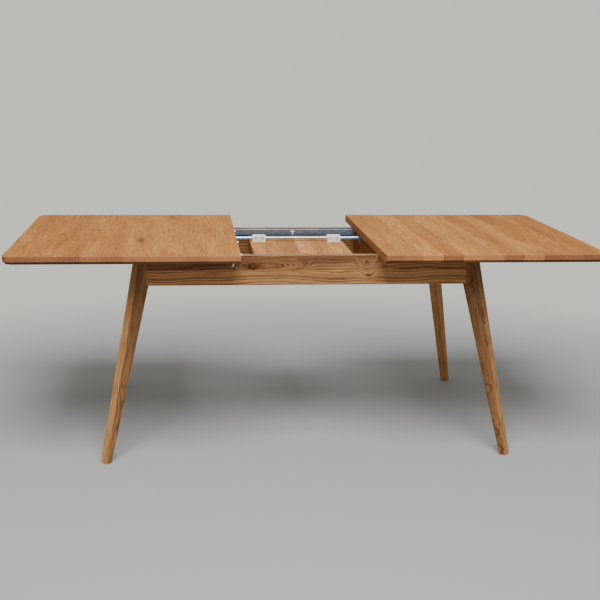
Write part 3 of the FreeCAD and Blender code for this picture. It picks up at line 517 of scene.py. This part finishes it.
@dataclass(frozen=True)
class Nylon:
    """White moulded nylon: milky, softly glossy, faintly grained by the mould.

    Between the two planes of a groove, faces that look along the table's width are greyed: painted shade
    inside the groove.
    """

    name: str = "nylon_moulded_white"
    light: str = "#FAFCFF"
    dark: str = "#EAF0FC"
    # Colour of the painted shade inside the groove
    groove_shade: str = "#BCC5D2"
    groove: tuple[float, float] | None = None
    flow: float = 1 / 60
    grain: float = 0.0016

    def material(self) -> Material:
        """Returns the nylon's material."""
        made = blank(self.name)
        put = partial(add, made.node_tree)
        place = put("TexCoord", out="Object")
        flow = put("TexNoise", {"Vector": place, "Scale": 1 / self.flow, "Detail": 3.0})
        skin = put("TexNoise", {"Vector": place, "Scale": 1 / self.grain, "Detail": 2.0})
        colour = put("Mix", {0: flow, 6: linear(self.light), 7: linear(self.dark)}, **BLEND)
        # Painted shade: the faces inside the groove are greyed
        if self.groove:
            start, stop = self.groove
            across = put("SeparateXYZ", {0: place}, 1)
            within = {0: across, 1: (start + stop) / 2, 2: (stop - start) / 2}
            facing = put("SeparateXYZ", {0: put("TexCoord", out="Normal")}, 1)
            facing = put("Math", {0: facing}, operation="ABSOLUTE")
            facing = put("MapRange", {0: facing, 1: 0.5, 2: 0.7})
            within = put("Math", within, operation="COMPARE")
            groove_shaded = put("Math", {0: within, 1: facing}, **TIMES)
            colour = put("Mix", {0: groove_shaded, 6: colour, 7: linear(self.groove_shade)}, **BLEND)
        gloss = put("MapRange", {0: skin, 1: 0.3, 2: 0.7, 3: 0.36, 4: 0.5})
        bump = put("Bump", {"Strength": 0.12, "Distance": 0.0002, "Height": skin})
        finish = {"Base Color": colour, "Roughness": gloss, "Normal": bump, "IOR": 1.53}
        put("OutputMaterial", {"Surface": put("BsdfPrincipled", finish)})
        return made


@dataclass
class Assembly:
    """A sub-assembly, with the finishes that it shares with the others."""

    galvanised: Material
    zinc: Material
    nylon: Material


def middle(node: str) -> Point:
    """Returns the middle of a CAD node's box.

    Args:
        node: name of the CAD node.
    """
    low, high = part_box(node)
    return tuple((low + high) / 2)


def solids(node: str) -> list[list[Vector]]:
    """Returns the corner points of each separate solid of a CAD node.

    Args:
        node: name of the CAD node.
    """
    shell = bmesh.new()
    shell.from_mesh(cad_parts[node].data)
    bmesh.ops.remove_doubles(shell, verts=shell.verts, dist=WELD)
    left = set(shell.verts)
    found: list[list[Vector]] = []
    for start in shell.verts:
        if start not in left:
            continue
        left.remove(start)
        front = [start]
        points = []
        while front:
            point = front.pop()
            points.append(point.co.copy())
            near = [edge.other_vert(point) for edge in point.link_edges]
            near = [other for other in near if other in left]
            left.difference_update(near)
            front.extend(near)
        found.append(points)
    shell.free()
    return found


class Keep(Enum):
    """What a cut keeps of a piece: the part outside the tool, or the part inside it."""

    OUTSIDE = "DIFFERENCE"
    INSIDE = "INTERSECT"


def begin() -> None:
    """Deselects every object before a new one is added."""
    bpy.ops.object.select_all(action="DESELECT")


def edit() -> None:
    """Opens the active object for editing, with all of it selected."""
    bpy.ops.object.mode_set(mode="EDIT")
    bpy.ops.mesh.select_all(action="SELECT")


def done() -> None:
    """Leaves edit mode."""
    bpy.ops.object.mode_set(mode="OBJECT")


def pick(piece: Object, wanted: Callable[[MeshPolygon], bool]) -> None:
    """Selects the wanted faces of a piece in edit mode.

    Args:
        piece: the object that is being edited.
        wanted: says of a face whether it is wanted.
    """
    bpy.ops.mesh.select_mode(type="FACE")
    bpy.ops.mesh.select_all(action="DESELECT")
    done()
    for face in piece.data.polygons:
        face.select = wanted(face)
    bpy.ops.object.mode_set(mode="EDIT")


def turned(
    corners: int, radius: float, rings: Iterable[tuple[float, float]], start: float = 0.0
) -> Object:
    """Models a round piece ring by ring up the Z axis.

    Args:
        corners: number of corners of each ring.
        radius: radius of the first ring in metres.
        rings: for each ring after it, the way up to it in metres and its size against the last one's.
        start: height of the first ring in metres.

    Returns:
        The closed piece, its faces outwards.
    """
    begin()
    bpy.ops.mesh.primitive_circle_add(
        vertices=corners, radius=radius, fill_type="NGON", location=(0.0, 0.0, start)
    )
    piece = bpy.context.object
    bpy.ops.object.transform_apply()
    edit()
    for step, scale in rings:
        bpy.ops.mesh.extrude_region_move(TRANSFORM_OT_translate={"value": (0.0, 0.0, step)})
        if scale != 1.0:
            bpy.ops.transform.resize(value=(scale, scale, 1.0), center_override=ORIGIN)
    bpy.ops.mesh.select_all(action="SELECT")
    bpy.ops.mesh.normals_make_consistent(inside=False)
    done()
    return piece


def finalise(piece: Object, modifier: Modifier) -> None:
    """Applies a modifier and takes away the points, edges and faces without size that it leaves.

    Args:
        piece: the object.
        modifier: its modifier.
    """
    begin()
    bpy.context.view_layer.objects.active = piece
    piece.select_set(True)
    bpy.ops.object.modifier_apply(modifier=modifier.name)
    edit()
    bpy.ops.mesh.remove_doubles(threshold=HAIR)
    bpy.ops.mesh.dissolve_degenerate(threshold=HAIR)
    done()


def carve(piece: Object, tool: Object, keep: Keep = Keep.OUTSIDE) -> None:
    """Cuts a piece with a tool and takes the tool away.

    Args:
        piece: the object that is cut.
        tool: the object that cuts it.
        keep: what is kept of the piece.
    """
    cut = piece.modifiers.new("carve", "BOOLEAN")
    cut.operation = keep.value
    cut.object = tool
    cut.solver = "EXACT"
    finalise(piece, cut)
    bpy.data.objects.remove(tool)


def soften(piece: Object, width: float, segments: int = 2) -> None:
    """Rounds the sharp edges of a piece and shades it smooth.

    Args:
        piece: the object.
        width: width of the rounding in metres.
        segments: number of faces across it.
    """
    round_over = piece.modifiers.new("round_over", "BEVEL")
    round_over.width = width
    round_over.segments = segments
    round_over.limit_method = "ANGLE"
    round_over.angle_limit = ROUNDED
    round_over.use_clamp_overlap = True
    finalise(piece, round_over)
    bpy.ops.object.shade_smooth_by_angle(angle=CREASED)


def settle(piece: Object, node: str, ending: str, body: str, material: Material) -> None:
    """Names, dresses and hangs a finished piece, in place of a CAD node.

    Args:
        piece: the finished object, at the origin.
        node: the CAD node that it stands for.
        ending: what its name adds to the node's.
        body: the CAD body that it moves with.
        material: its finish.
    """
    piece.name = piece.data.name = node + ending
    piece.data.materials.clear()
    piece.data.materials.append(material)
    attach(piece, body)
    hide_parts(node)
    log.info("%s on %s: %s", piece.name, body, material.name)


def scatter(model: Object, places: Iterable[Matrix]) -> Object:
    """Copies a model to each place, joins the copies and takes the model away.

    Args:
        model: the modelled piece, about the origin.
        places: where each copy goes.

    Returns:
        One object at the origin that holds all the copies.
    """
    copies = []
    for place in places:
        copy = model.copy()
        copy.data = model.data.copy()
        copy.data.transform(place)
        bpy.context.collection.objects.link(copy)
        copies.append(copy)
    begin()
    for copy in copies:
        copy.select_set(True)
    bpy.context.view_layer.objects.active = copies[0]
    bpy.ops.object.join()
    bpy.data.objects.remove(model)
    return copies[0]


def seats(node: str, drive: Way) -> list[Matrix]:
    """Finds where the fasteners of a CAD node sit.

    Args:
        node: name of the CAD node.
        drive: which way they are driven.

    Returns:
        For each one a matrix that takes Z to its direction and the origin to the start of its solid.
    """
    found = []
    for points in solids(node):
        centre = Vector([(min(axis) + max(axis)) / 2 for axis in zip(*points)])
        way = drive.at(centre)
        start = min((point - centre).dot(way) for point in points)
        turn = way.to_track_quat("Z", "X").to_matrix().to_4x4()
        found.append(Matrix.Translation(centre + way * start) @ turn)
    return found


@dataclass(frozen=True)
class Screw:
    """Countersunk wood screw with a cross recess.

    The diameter of its shank and its length are in metres, all else in diameters.
    """

    diameter: float
    length: float
    face: float = 0.9
    arm: float = 0.16
    arm_reach: float = 0.34
    recess_depth: float = 0.16
    recess_taper: float = 0.55
    rounding: float = 0.05

    def model(self) -> Object:
        """Returns the modelled screw, its head at the origin, driven up the Z axis."""
        rings = (
            (0.04 * self.diameter, 1 / self.face),  # rounding of the head
            (0.08 * self.diameter, 1.0),  # rim
            (0.38 * self.diameter, 0.5),  # cone below the head
            (self.length - self.diameter, 1.0),  # shank
            (0.5 * self.diameter, 0.1),  # point
        )
        screw = turned(24, self.face * self.diameter, rings)
        carve(screw, self.recess())
        soften(screw, self.rounding * self.diameter, 1)
        return screw

    def recess(self) -> Object:
        """Returns the tool that cuts the cross for the driver's tip."""
        arm = self.arm * self.diameter
        begin()
        bpy.ops.mesh.primitive_cube_add(size=2 * arm, location=ORIGIN)
        cross = bpy.context.object
        bpy.ops.object.mode_set(mode="EDIT")
        for way in (Way.LENGTH, Way.TO_LEFT, Way.WIDTH, Way.TO_FRONT):
            out = Vector(way.value)
            pick(
                cross,
                lambda face, out=out: face.normal.dot(out) > 0.9 and face.center.dot(out) < 1.5 * arm,
            )
            reach = out * self.arm_reach * self.diameter
            bpy.ops.mesh.extrude_region_move(TRANSFORM_OT_translate={"value": reach})
        pick(cross, lambda face: face.normal.z > 0.9)
        taper = (self.recess_taper, self.recess_taper, 1.0)
        bpy.ops.transform.resize(value=taper, center_override=ORIGIN)
        bpy.ops.transform.translate(value=(0.0, 0.0, self.recess_depth * self.diameter))
        done()
        return cross


@dataclass(frozen=True)
class HangerBolt:
    """Hanger bolt with its washer and hexagon nut, sizes in metres.

    The root of the thread is a share of its crest, the turned edges of the nut a share of its height.
    """

    diameter: float = 0.008
    pitch: float = 0.00125
    threads: int = 10
    root: float = 0.88
    thread_crease: float = math.radians(30)
    flats: float = 0.013
    nut: float = 0.0065
    nut_edge: float = 0.12
    nut_rounding: float = 0.00015
    washer: float = 0.02
    washer_room: float = 0.0005
    washer_rounding: float = 0.0003
    sheet: float = 0.0016

    def bolt(self, length: float) -> Object:
        """Returns the modelled bolt, from its threaded tail at the origin up the Z axis.

        Args:
            length: whole length in metres.
        """
        flank, crest = 0.45 * self.pitch, 0.1 * self.pitch
        thread = ((flank, 1 / self.root), (crest, 1.0), (flank, self.root))
        rings = (
            (0.5 * self.pitch, 1.1),  # chamfer of the tail
            *(thread * self.threads),
            (0.3 * self.pitch, 1 / self.root),  # end of the thread
            (length - (self.threads + 1.8) * self.pitch, 1.0),  # shank
            (self.pitch, 0.7),  # chamfer of the other end
        )
        bolt = turned(24, 0.4 * self.diameter, rings)
        bpy.ops.object.shade_smooth_by_angle(angle=self.thread_crease)
        return bolt

    def hexagon(self) -> Object:
        """Returns the modelled nut, from the origin up: a hexagon with turned corners and a bore."""
        begin()
        bpy.ops.mesh.primitive_cylinder_add(
            vertices=6,
            radius=self.flats / math.sqrt(3),
            depth=self.nut,
            location=(0.0, 0.0, self.nut / 2),
            rotation=(0.0, 0.0, math.radians(30)),
        )
        nut = bpy.context.object
        bpy.ops.object.transform_apply()
        edge, wider = self.nut_edge * self.nut, 1.24
        barrel = ((edge, wider), (self.nut - 2 * edge, 1.0), (edge, 1 / wider))
        carve(nut, turned(48, 0.475 * self.flats, barrel), Keep.INSIDE)
        carve(nut, self.bore(self.diameter / 2, self.nut))
        soften(nut, self.nut_rounding, 1)
        return nut

    def ring(self) -> Object:
        """Returns the modelled washer, from the origin up, its rim rounded by the punch."""
        ring = turned(40, self.washer / 2, ((self.sheet, 1.0),))
        carve(ring, self.bore(self.diameter / 2 + self.washer_room, self.sheet))
        soften(ring, self.washer_rounding)
        return ring

    def bore(self, radius: float, height: float) -> Object:
        """Returns the cutter of a bore with a funnel at both ends.

        Args:
            radius: radius of the bore in metres.
            height: height of the piece that it goes through.
        """
        funnel, wider = 0.16 * height, 1.25
        rings = ((funnel, 1 / wider), (0.8 * height, 1.0), (funnel, wider))
        return turned(32, wider * radius, rings, start=-0.06 * height)


def screws(node: str, screw: Screw, drive: Way, body: str, zinc: Material) -> None:
    """Puts modelled screws in place of a CAD node's plain ones.

    Args:
        node: name of the CAD node.
        screw: the screw's size.
        drive: which way the screws are driven.
        body: the CAD body that they move with.
        zinc: their finish.
    """
    row = scatter(screw.model(), seats(node, drive))
    settle(row, node, "_cross_recess", body, zinc)


def moulded(
    node: str, body: str, width: float, material: Material, panel: Point | None = None
) -> None:
    """Puts a copy with rounded edges in place of a CAD node.

    Args:
        node: name of the CAD node.
        body: the CAD body that it moves with.
        width: width of the rounding in metres.
        material: its finish.
        panel: how far the raised panel inside the groove of each long face is drawn in, if there is one.
    """
    begin()
    piece = bpy.data.objects.new(node + "_rounded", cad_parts[node].data.copy())
    bpy.context.collection.objects.link(piece)
    bpy.context.view_layer.objects.active = piece
    piece.select_set(True)
    edit()
    bpy.ops.mesh.remove_doubles(threshold=WELD)
    bpy.ops.mesh.dissolve_limited(angle_limit=math.radians(1))
    if panel:
        low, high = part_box(node)
        near = 0.0005
        for face_y in (low.y, high.y):
            shown = Vector(((low.x + high.x) / 2, face_y, (low.z + high.z) / 2))
            pick(piece, lambda face, shown=shown: (face.center - shown).length < near)
            bpy.ops.transform.resize(value=panel, center_override=shown)
    done()
    soften(piece, width)
    settle(piece, node, "_rounded", body, material)


@dataclass
class TopHalves(Assembly):
    """The two halves of the top: staves across the table, bevelled from below."""

    stave: float = 0.0715
    right_joint: float = 0.3075
    left_joint: float = -0.29
    level: float = 0.75

    def build(self) -> None:
        """Gives each half its own oak, and the left one its white dowels."""
        left = (
            Knot((-0.603, -0.141, self.level), 0.018, 0.5, drawn_out=3.2),
            Knot((-0.5, 0.38, self.level), 0.01, 0.3, drawn_out=3.0),
            Knot((-0.77, 0.08, self.level), 0.007, 0.3, drawn_out=3.0),
        )
        right = (Knot((0.63, 0.18, self.level), 0.008, 0.35, drawn_out=3.0),)
        left_odd = ((-7, -0.12), (-5, 0.1), (-4, -0.14), (-2, 0.15), (-1, -0.1))
        right_odd = (
            (-1, 0.3), (0, 0.13), (1, -0.33), (2, 0.3), (3, -0.14), (4, -0.16), (6, -0.15), (8, 0.2),
            (9, 0.2),
        )
        # Each half's staves darken towards its outer end by the lean: painted shade for the light that
        # falls off there.
        boards = (
            ("left", self.left_joint, 3.0, -0.045, left, left_odd),
            ("right", self.right_joint, 41.0, 0.02, right, right_odd),
        )
        for side, joint, seed, lean, knots, odd in boards:
            node = "top_board_" + side
            # The half's joint face and outer end face get painted shade, and so do the faces that look
            # down.
            oak = Oak(
                "oak_oiled_top_" + side, Way.TO_FRONT.value, Way.LENGTH.value, middle(node),
                TOP_TONES, seed, stave=self.stave, joint=joint, lean=lean, spread=0.3, contrast=0.42,
                clouds=1.7, streaks=0.55, painted_side_shade=0.3, knots=knots, odd=odd,
            )
            dress(oak.material(), node)
        dress(self.nylon, "alignment_dowels")


@dataclass
class Leaf(Assembly):
    """The folded leaf in the well: two boards, hinge barrels and links, pivot blocks and dowels."""

    stave: float = 0.0635
    joint: float = -0.0105
    face: float = 0.696
    block_rounding: float = 0.0009
    block_groove: tuple[float, float] = (0.1025, 0.1375)
    block_panel: Point = (0.7, 1.0, 0.85)
    screw: Screw = Screw(0.004, 0.038)

    def build(self) -> None:
        """Models the blocks and their screws, and gives the leaf's pieces their finishes."""
        knots = (Knot((-0.064, -0.079, self.face), 0.005, 0.9, drawn_out=2.5),)
        for node, seed in (("leaf_board_upper", 7.0), ("leaf_board_lower", 23.0)):
            oak = Oak(
                # The leaf grows darker towards the back, under the rod: painted shade.
                "oak_oiled_" + node, Way.TO_FRONT.value, Way.LENGTH.value, middle(node),
                LEAF_TONES, seed, stave=self.stave, joint=self.joint, spread=0.4, clouds=1.6,
                streaks=0.5, grade=1.2, painted_shade=0.0, knots=knots, odd=((-1, 0.45), (0, -0.2)),
            )
            dress(oak.material(), node)
        dress(self.zinc, "leaf_hinge_barrels", "leaf_hinge_links")
        dress(self.nylon, "leaf_dowels")
        grooved = Nylon("nylon_moulded_block", groove=self.block_groove).material()
        for node in ("pivot_block_left", "pivot_block_right"):
            moulded(node, "leaf", self.block_rounding, grooved, self.block_panel)
        screws("pivot_block_screws", self.screw, Way.DOWN, "leaf", self.zinc)


@dataclass
class Frame(Assembly):
    """Aprons of two staves each, cross rails, the rest bar and the corner blocks."""

    apron_joint: float = 0.669
    apron_stave: float = 0.056
    face: float = 0.3
    block_stave: float = 0.2
    block_joint: float = -1.0

    def build(self) -> None:
        """Gives each board of the frame its own oak."""
        front = (
            Knot((-0.145, -self.face, 0.682), 0.012, 0.0, push=5.5, reach=2.6, drawn_out=6.0),
            Knot((-0.2, -self.face, 0.683), 0.017, 0.6, push=0.0, drawn_out=2.8),
            Knot((-0.2, -self.face, 0.676), 0.006, 0.85, push=0.0, drawn_out=3.6),
            Knot((0.21, -self.face, 0.69), 0.011, 0.3, push=4.0),
            Knot((0.2154, -self.face, 0.649), 0.0065, 0.85, push=2.2, drawn_out=2.2),
        )
        aprons = (
            ("apron_front", Way.LENGTH, Way.WIDTH, 11.0, front),
            ("apron_back", Way.LENGTH, Way.TO_FRONT, 17.0, ()),
            ("apron_left", Way.WIDTH, Way.LENGTH, 29.0, ()),
            ("apron_right", Way.WIDTH, Way.TO_LEFT, 31.0, ()),
        )
        for node, along, inside, seed, knots in aprons:
            # The aprons' top and bottom faces are made paler, painted light; their inner faces get
            # painted shade; the change in tone along each apron is the wood's own.
            oak = Oak(
                "oak_oiled_" + node, along.value, Way.HEIGHT.value, middle(node), APRON_TONES,
                seed, Sawn.RIFT, stave=self.apron_stave, joint=self.apron_joint, ring=0.0095, line=0.6,
                spread=0.2, contrast=0.88, flecks=0.1, clouds=2.4, streaks=0.4, edges=1.0, grade=0.6,
                dim=inside.value, painted_shade=0.5, knots=knots, odd=((0, 0.24), (-1, -0.6)),
            )
            dress(oak.material(), node)
        rails = {"contrast": 0.3, "streaks": 0.15}
        blocks = {"stave": self.block_stave, "joint": self.block_joint}
        corners = (("front_left", 53.0), ("front_right", 59.0), ("back_left", 61.0), ("back_right", 67.0))
        inner = (
            ("cross_rail_left", Way.WIDTH, Way.HEIGHT, 37.0, rails),
            ("cross_rail_right", Way.WIDTH, Way.HEIGHT, 43.0, rails),
            ("leaf_rest_bar", Way.LENGTH, Way.HEIGHT, 47.0, rails),
            *(("corner_block_" + at, Way.HEIGHT, Way.LENGTH, seed, blocks) for at, seed in corners),
        )
        for node, along, across, seed, looks in inner:
            oak = Oak(
                "oak_inner_" + node, along.value, across.value, middle(node), INNER_TONES, seed,
                Sawn.FLAT, **looks,
            )
            dress(oak.material(), node)


@dataclass
class Legs(Assembly):
    """Four planks in the corner diagonals, splayed outwards, and the bolts that hold them."""

    lean: float = 0.27
    plank: float = 0.12
    hardware: HangerBolt = HangerBolt()

    def build(self) -> None:
        """Gives each leg oak whose grain follows its slant, and models the bolts, washers and nuts."""
        spots = (((0.64, -0.34, 0.52), 0.02), ((0.66, -0.36, 0.42), 0.018), ((0.7, -0.4, 0.2), 0.014))
        wild = tuple(Knot(place, radius, 0.15, push=2.4, drawn_out=1.5) for place, radius in spots)
        even = {"ring": 0.0065, "bow": 0.06, "grade": 0.5, "odd": ((0, 0.1),)}
        curly = {"ring": 0.011, "bow": 0.07, "bows": 11.0, "grade": 0.8, "odd": ((0, 0.56),)}
        legs = (
            ("leg_front_left", 5.0, even),
            ("leg_front_right", 13.0, curly | {"knots": wild}),
            ("leg_back_left", 19.0, even),
            ("leg_back_right", 71.0, even | {"odd": ((0, -0.3),)}),
        )
        up = Vector(Way.HEIGHT.value)
        for node, seed, looks in legs:
            centre = Vector(middle(node))
            out = Way.TO_CORNER.at(centre)
            along = (out * self.lean - up).normalized()
            across = out.cross(up).cross(along)
            # Each leg grows darker towards its top, under the tabletop: painted shade. The paler narrow
            # sides are the wood's own tone.
            oak = Oak(
                "oak_oiled_" + node, tuple(along), tuple(across), tuple(centre), LEG_TONES, seed,
                Sawn.FLAT, stave=self.plank, joint=across.dot(centre) - self.plank / 2, line=0.45,
                spread=0.3, contrast=0.65, clouds=1.7, streaks=0.45, edges=0.5, **looks,
            )
            dress(oak.material(), node)
        points = solids("leg_bolts")[0]
        out = Way.TO_CORNER.at(points[0])
        reach = [point.dot(out) for point in points]
        pieces = {
            "leg_bolts": self.hardware.bolt(max(reach) - min(reach)),
            "leg_washers": self.hardware.ring(),
            "leg_nuts": self.hardware.hexagon(),
        }
        for node, model in pieces.items():
            row = scatter(model, seats(node, Way.TO_CORNER))
            settle(row, node, "_modelled", "frame", self.zinc)


@dataclass
class Runners(Assembly):
    """Runners on the aprons, sliders under the halves, the stops and the screws."""

    stop_rounding: float = 0.0005
    runner_screw: Screw = Screw(0.0035, 0.02)
    slider_screw: Screw = Screw(0.004, 0.016)

    def build(self) -> None:
        """Models the stops and screws and gives the steel its finish."""
        for row in ("front", "back"):
            dress(self.galvanised, f"runner_{row}", f"slider_{row}_left", f"slider_{row}_right")
            moulded(f"runner_stop_{row}", "frame", self.stop_rounding, self.nylon)
        screws("runner_screws", self.runner_screw, Way.WIDTH, "frame", self.zinc)
        screws("slider_screws_left", self.slider_screw, Way.HEIGHT, "top_left", self.zinc)
        screws("slider_screws_right", self.slider_screw, Way.HEIGHT, "top_right", self.zinc)


@dataclass
class Pivot(Assembly):
    """The rod that the leaf turns on, its sleeves and end brackets."""

    bracket_rounding: float = 0.0004
    screw: Screw = Screw(0.004, 0.018)

    def build(self) -> None:
        """Models the brackets' rounded edges and their screws, and gives the rod its finish."""
        edge, steel = self.bracket_rounding, self.galvanised
        for side in ("left", "right"):
            dress(self.zinc, f"rod_sleeve_{side}")
            moulded(f"rod_bracket_{side}", "frame", edge, steel)
        dress(self.zinc, "pivot_rod")
        screws("bracket_screws", self.screw, Way.LENGTH, "frame", self.zinc)


@dataclass
class Latches(Assembly):
    """Latch plates and hooks under the left half, keepers under the right one."""

    screw: Screw = Screw(0.003, 0.014)

    def build(self) -> None:
        """Models the screws and gives the plates, hooks and keepers their finish."""
        for row in ("front", "back"):
            dress(self.zinc, f"latch_hook_{row}", f"latch_plate_{row}", f"latch_keeper_{row}")
        dress(self.zinc, "latch_rivets")
        screws("latch_screws", self.screw, Way.HEIGHT, "top_left", self.zinc)
        screws("keeper_screws", self.screw, Way.HEIGHT, "top_right", self.zinc)


@dataclass
class Studio:
    """Pale floor, soft light from above and the camera of the photograph.

    Places are in metres, angles in radians, and the camera's focal length, middle and image in pixels.
    The sky fades between two heights of the direction that is looked in.
    """

    floor_size: float = 200.0
    floor_near: str = "#A5A5A7"
    floor_middle: Point = (0.0, -1.6, 0.0)
    floor_fade: tuple[float, float] = (2.6, 4.0)
    lamp_place: Point = (-0.3, -2.6, 5.2)
    lamp_aim: Point = (0.0, 0.0, 0.6)
    lamp_size: float = 3.2
    lamp_power: float = 420.0
    light_colour: str = "#FFFFF6"
    horizon: float = 0.76
    zenith: float = 0.5
    sky_fade: tuple[float, float] = (0.1, 0.35)
    eye: Point = (-0.4236, -3.6446, 1.3922)
    yaw: float = 0.0914
    pitch: float = 0.2292
    roll: float = 0.0139
    focal: float = 962.64
    middle: tuple[float, float] = (-24.1, -13.61)
    image: float = 600.0
    sensor: float = 36.0

    def build(self) -> None:
        """Adds the floor, the lamp, the sky and the camera."""
        self.floor()
        self.lamp()
        self.sky()
        self.camera()

    def floor(self) -> None:
        """Adds the plain floor, which fades into the light of the horizon away from the table."""
        begin()
        bpy.ops.mesh.primitive_plane_add(size=self.floor_size)
        floor = bpy.context.object
        floor.name = "studio_floor"
        made = blank("studio_floor_paint")
        put = partial(add, made.node_tree)
        place = put("TexCoord", out="Object")
        clouds = put("TexNoise", {"Vector": place, "Scale": 1.2, "Detail": 4.0})
        gloss = put("MapRange", {0: clouds, 3: 0.6, 4: 0.8})
        away = put("VectorMath", {0: place, 1: self.floor_middle}, "Value", operation="DISTANCE")
        start, stop = self.floor_fade
        paler = put("MapRange", {0: away, 1: start, 2: stop}, **SMOOTH)
        paint = {"Base Color": linear(self.floor_near), "Roughness": gloss, "Specular IOR Level": 0.1}
        near = put("BsdfPrincipled", paint)
        far = put("Emission", {"Color": linear(self.light_colour), "Strength": self.horizon})
        put("OutputMaterial", {"Surface": put("MixShader", {0: paler, 1: near, 2: far})})
        floor.data.materials.append(made)

    def lamp(self) -> None:
        """Adds a soft light high above the front."""
        bpy.ops.object.light_add(type="AREA", location=self.lamp_place)
        lamp = bpy.context.object
        lamp.data.shape = "SQUARE"
        lamp.data.size = self.lamp_size
        lamp.data.energy = self.lamp_power
        beam = Vector(self.lamp_aim) - Vector(self.lamp_place)
        lamp.rotation_euler = beam.to_track_quat("-Z", "Y").to_euler()

    def sky(self) -> None:
        """Adds a sky that darkens from the horizon, which the floor fades into, to the zenith."""
        world = bpy.data.worlds.new("studio_sky")
        world.use_nodes = True
        world.node_tree.nodes.clear()
        put = partial(add, world.node_tree)
        height = put("SeparateXYZ", {0: put("TexCoord", out="Generated")}, 2)
        start, stop = self.sky_fade
        fade = {0: height, 1: start, 2: stop, 3: self.horizon, 4: self.zenith}
        glow = {"Color": linear(self.light_colour), "Strength": put("MapRange", fade, **SMOOTH)}
        put("OutputWorld", {"Surface": put("Background", glow)})
        bpy.context.scene.world = world

    def camera(self) -> None:
        """Adds the camera, where a fit to the photograph's corners puts it."""
        level = math.cos(self.pitch)
        forward = Vector((math.sin(self.yaw) * level, math.cos(self.yaw) * level, -math.sin(self.pitch)))
        right = Vector((math.cos(self.yaw), -math.sin(self.yaw), 0.0))
        up = right.cross(forward)
        rolled_right = math.cos(self.roll) * right + math.sin(self.roll) * up
        rolled_up = -math.sin(self.roll) * right + math.cos(self.roll) * up
        bpy.ops.object.camera_add(location=self.eye)
        camera = bpy.context.object
        camera.rotation_euler = Matrix((rolled_right, rolled_up, -forward)).transposed().to_euler()
        camera.data.sensor_width = self.sensor
        camera.data.lens = self.focal * self.sensor / self.image
        camera.data.shift_x = -self.middle[0] / self.image
        camera.data.shift_y = self.middle[1] / self.image
        bpy.context.scene.camera = camera


def main() -> None:
    """Builds and dresses the table in order."""
    logging.basicConfig(level=logging.INFO, format="%(name)s: %(message)s")
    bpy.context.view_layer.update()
    galvanised = Steel(Coating.GALVANISED).material()
    zinc = Steel(Coating.BRIGHT_ZINC).material()
    nylon = Nylon().material()
    for assembly in (TopHalves, Leaf, Frame, Legs, Runners, Pivot, Latches):
        assembly(galvanised, zinc, nylon).build()
    Studio().build()


if __name__ == "__main__":
    main()
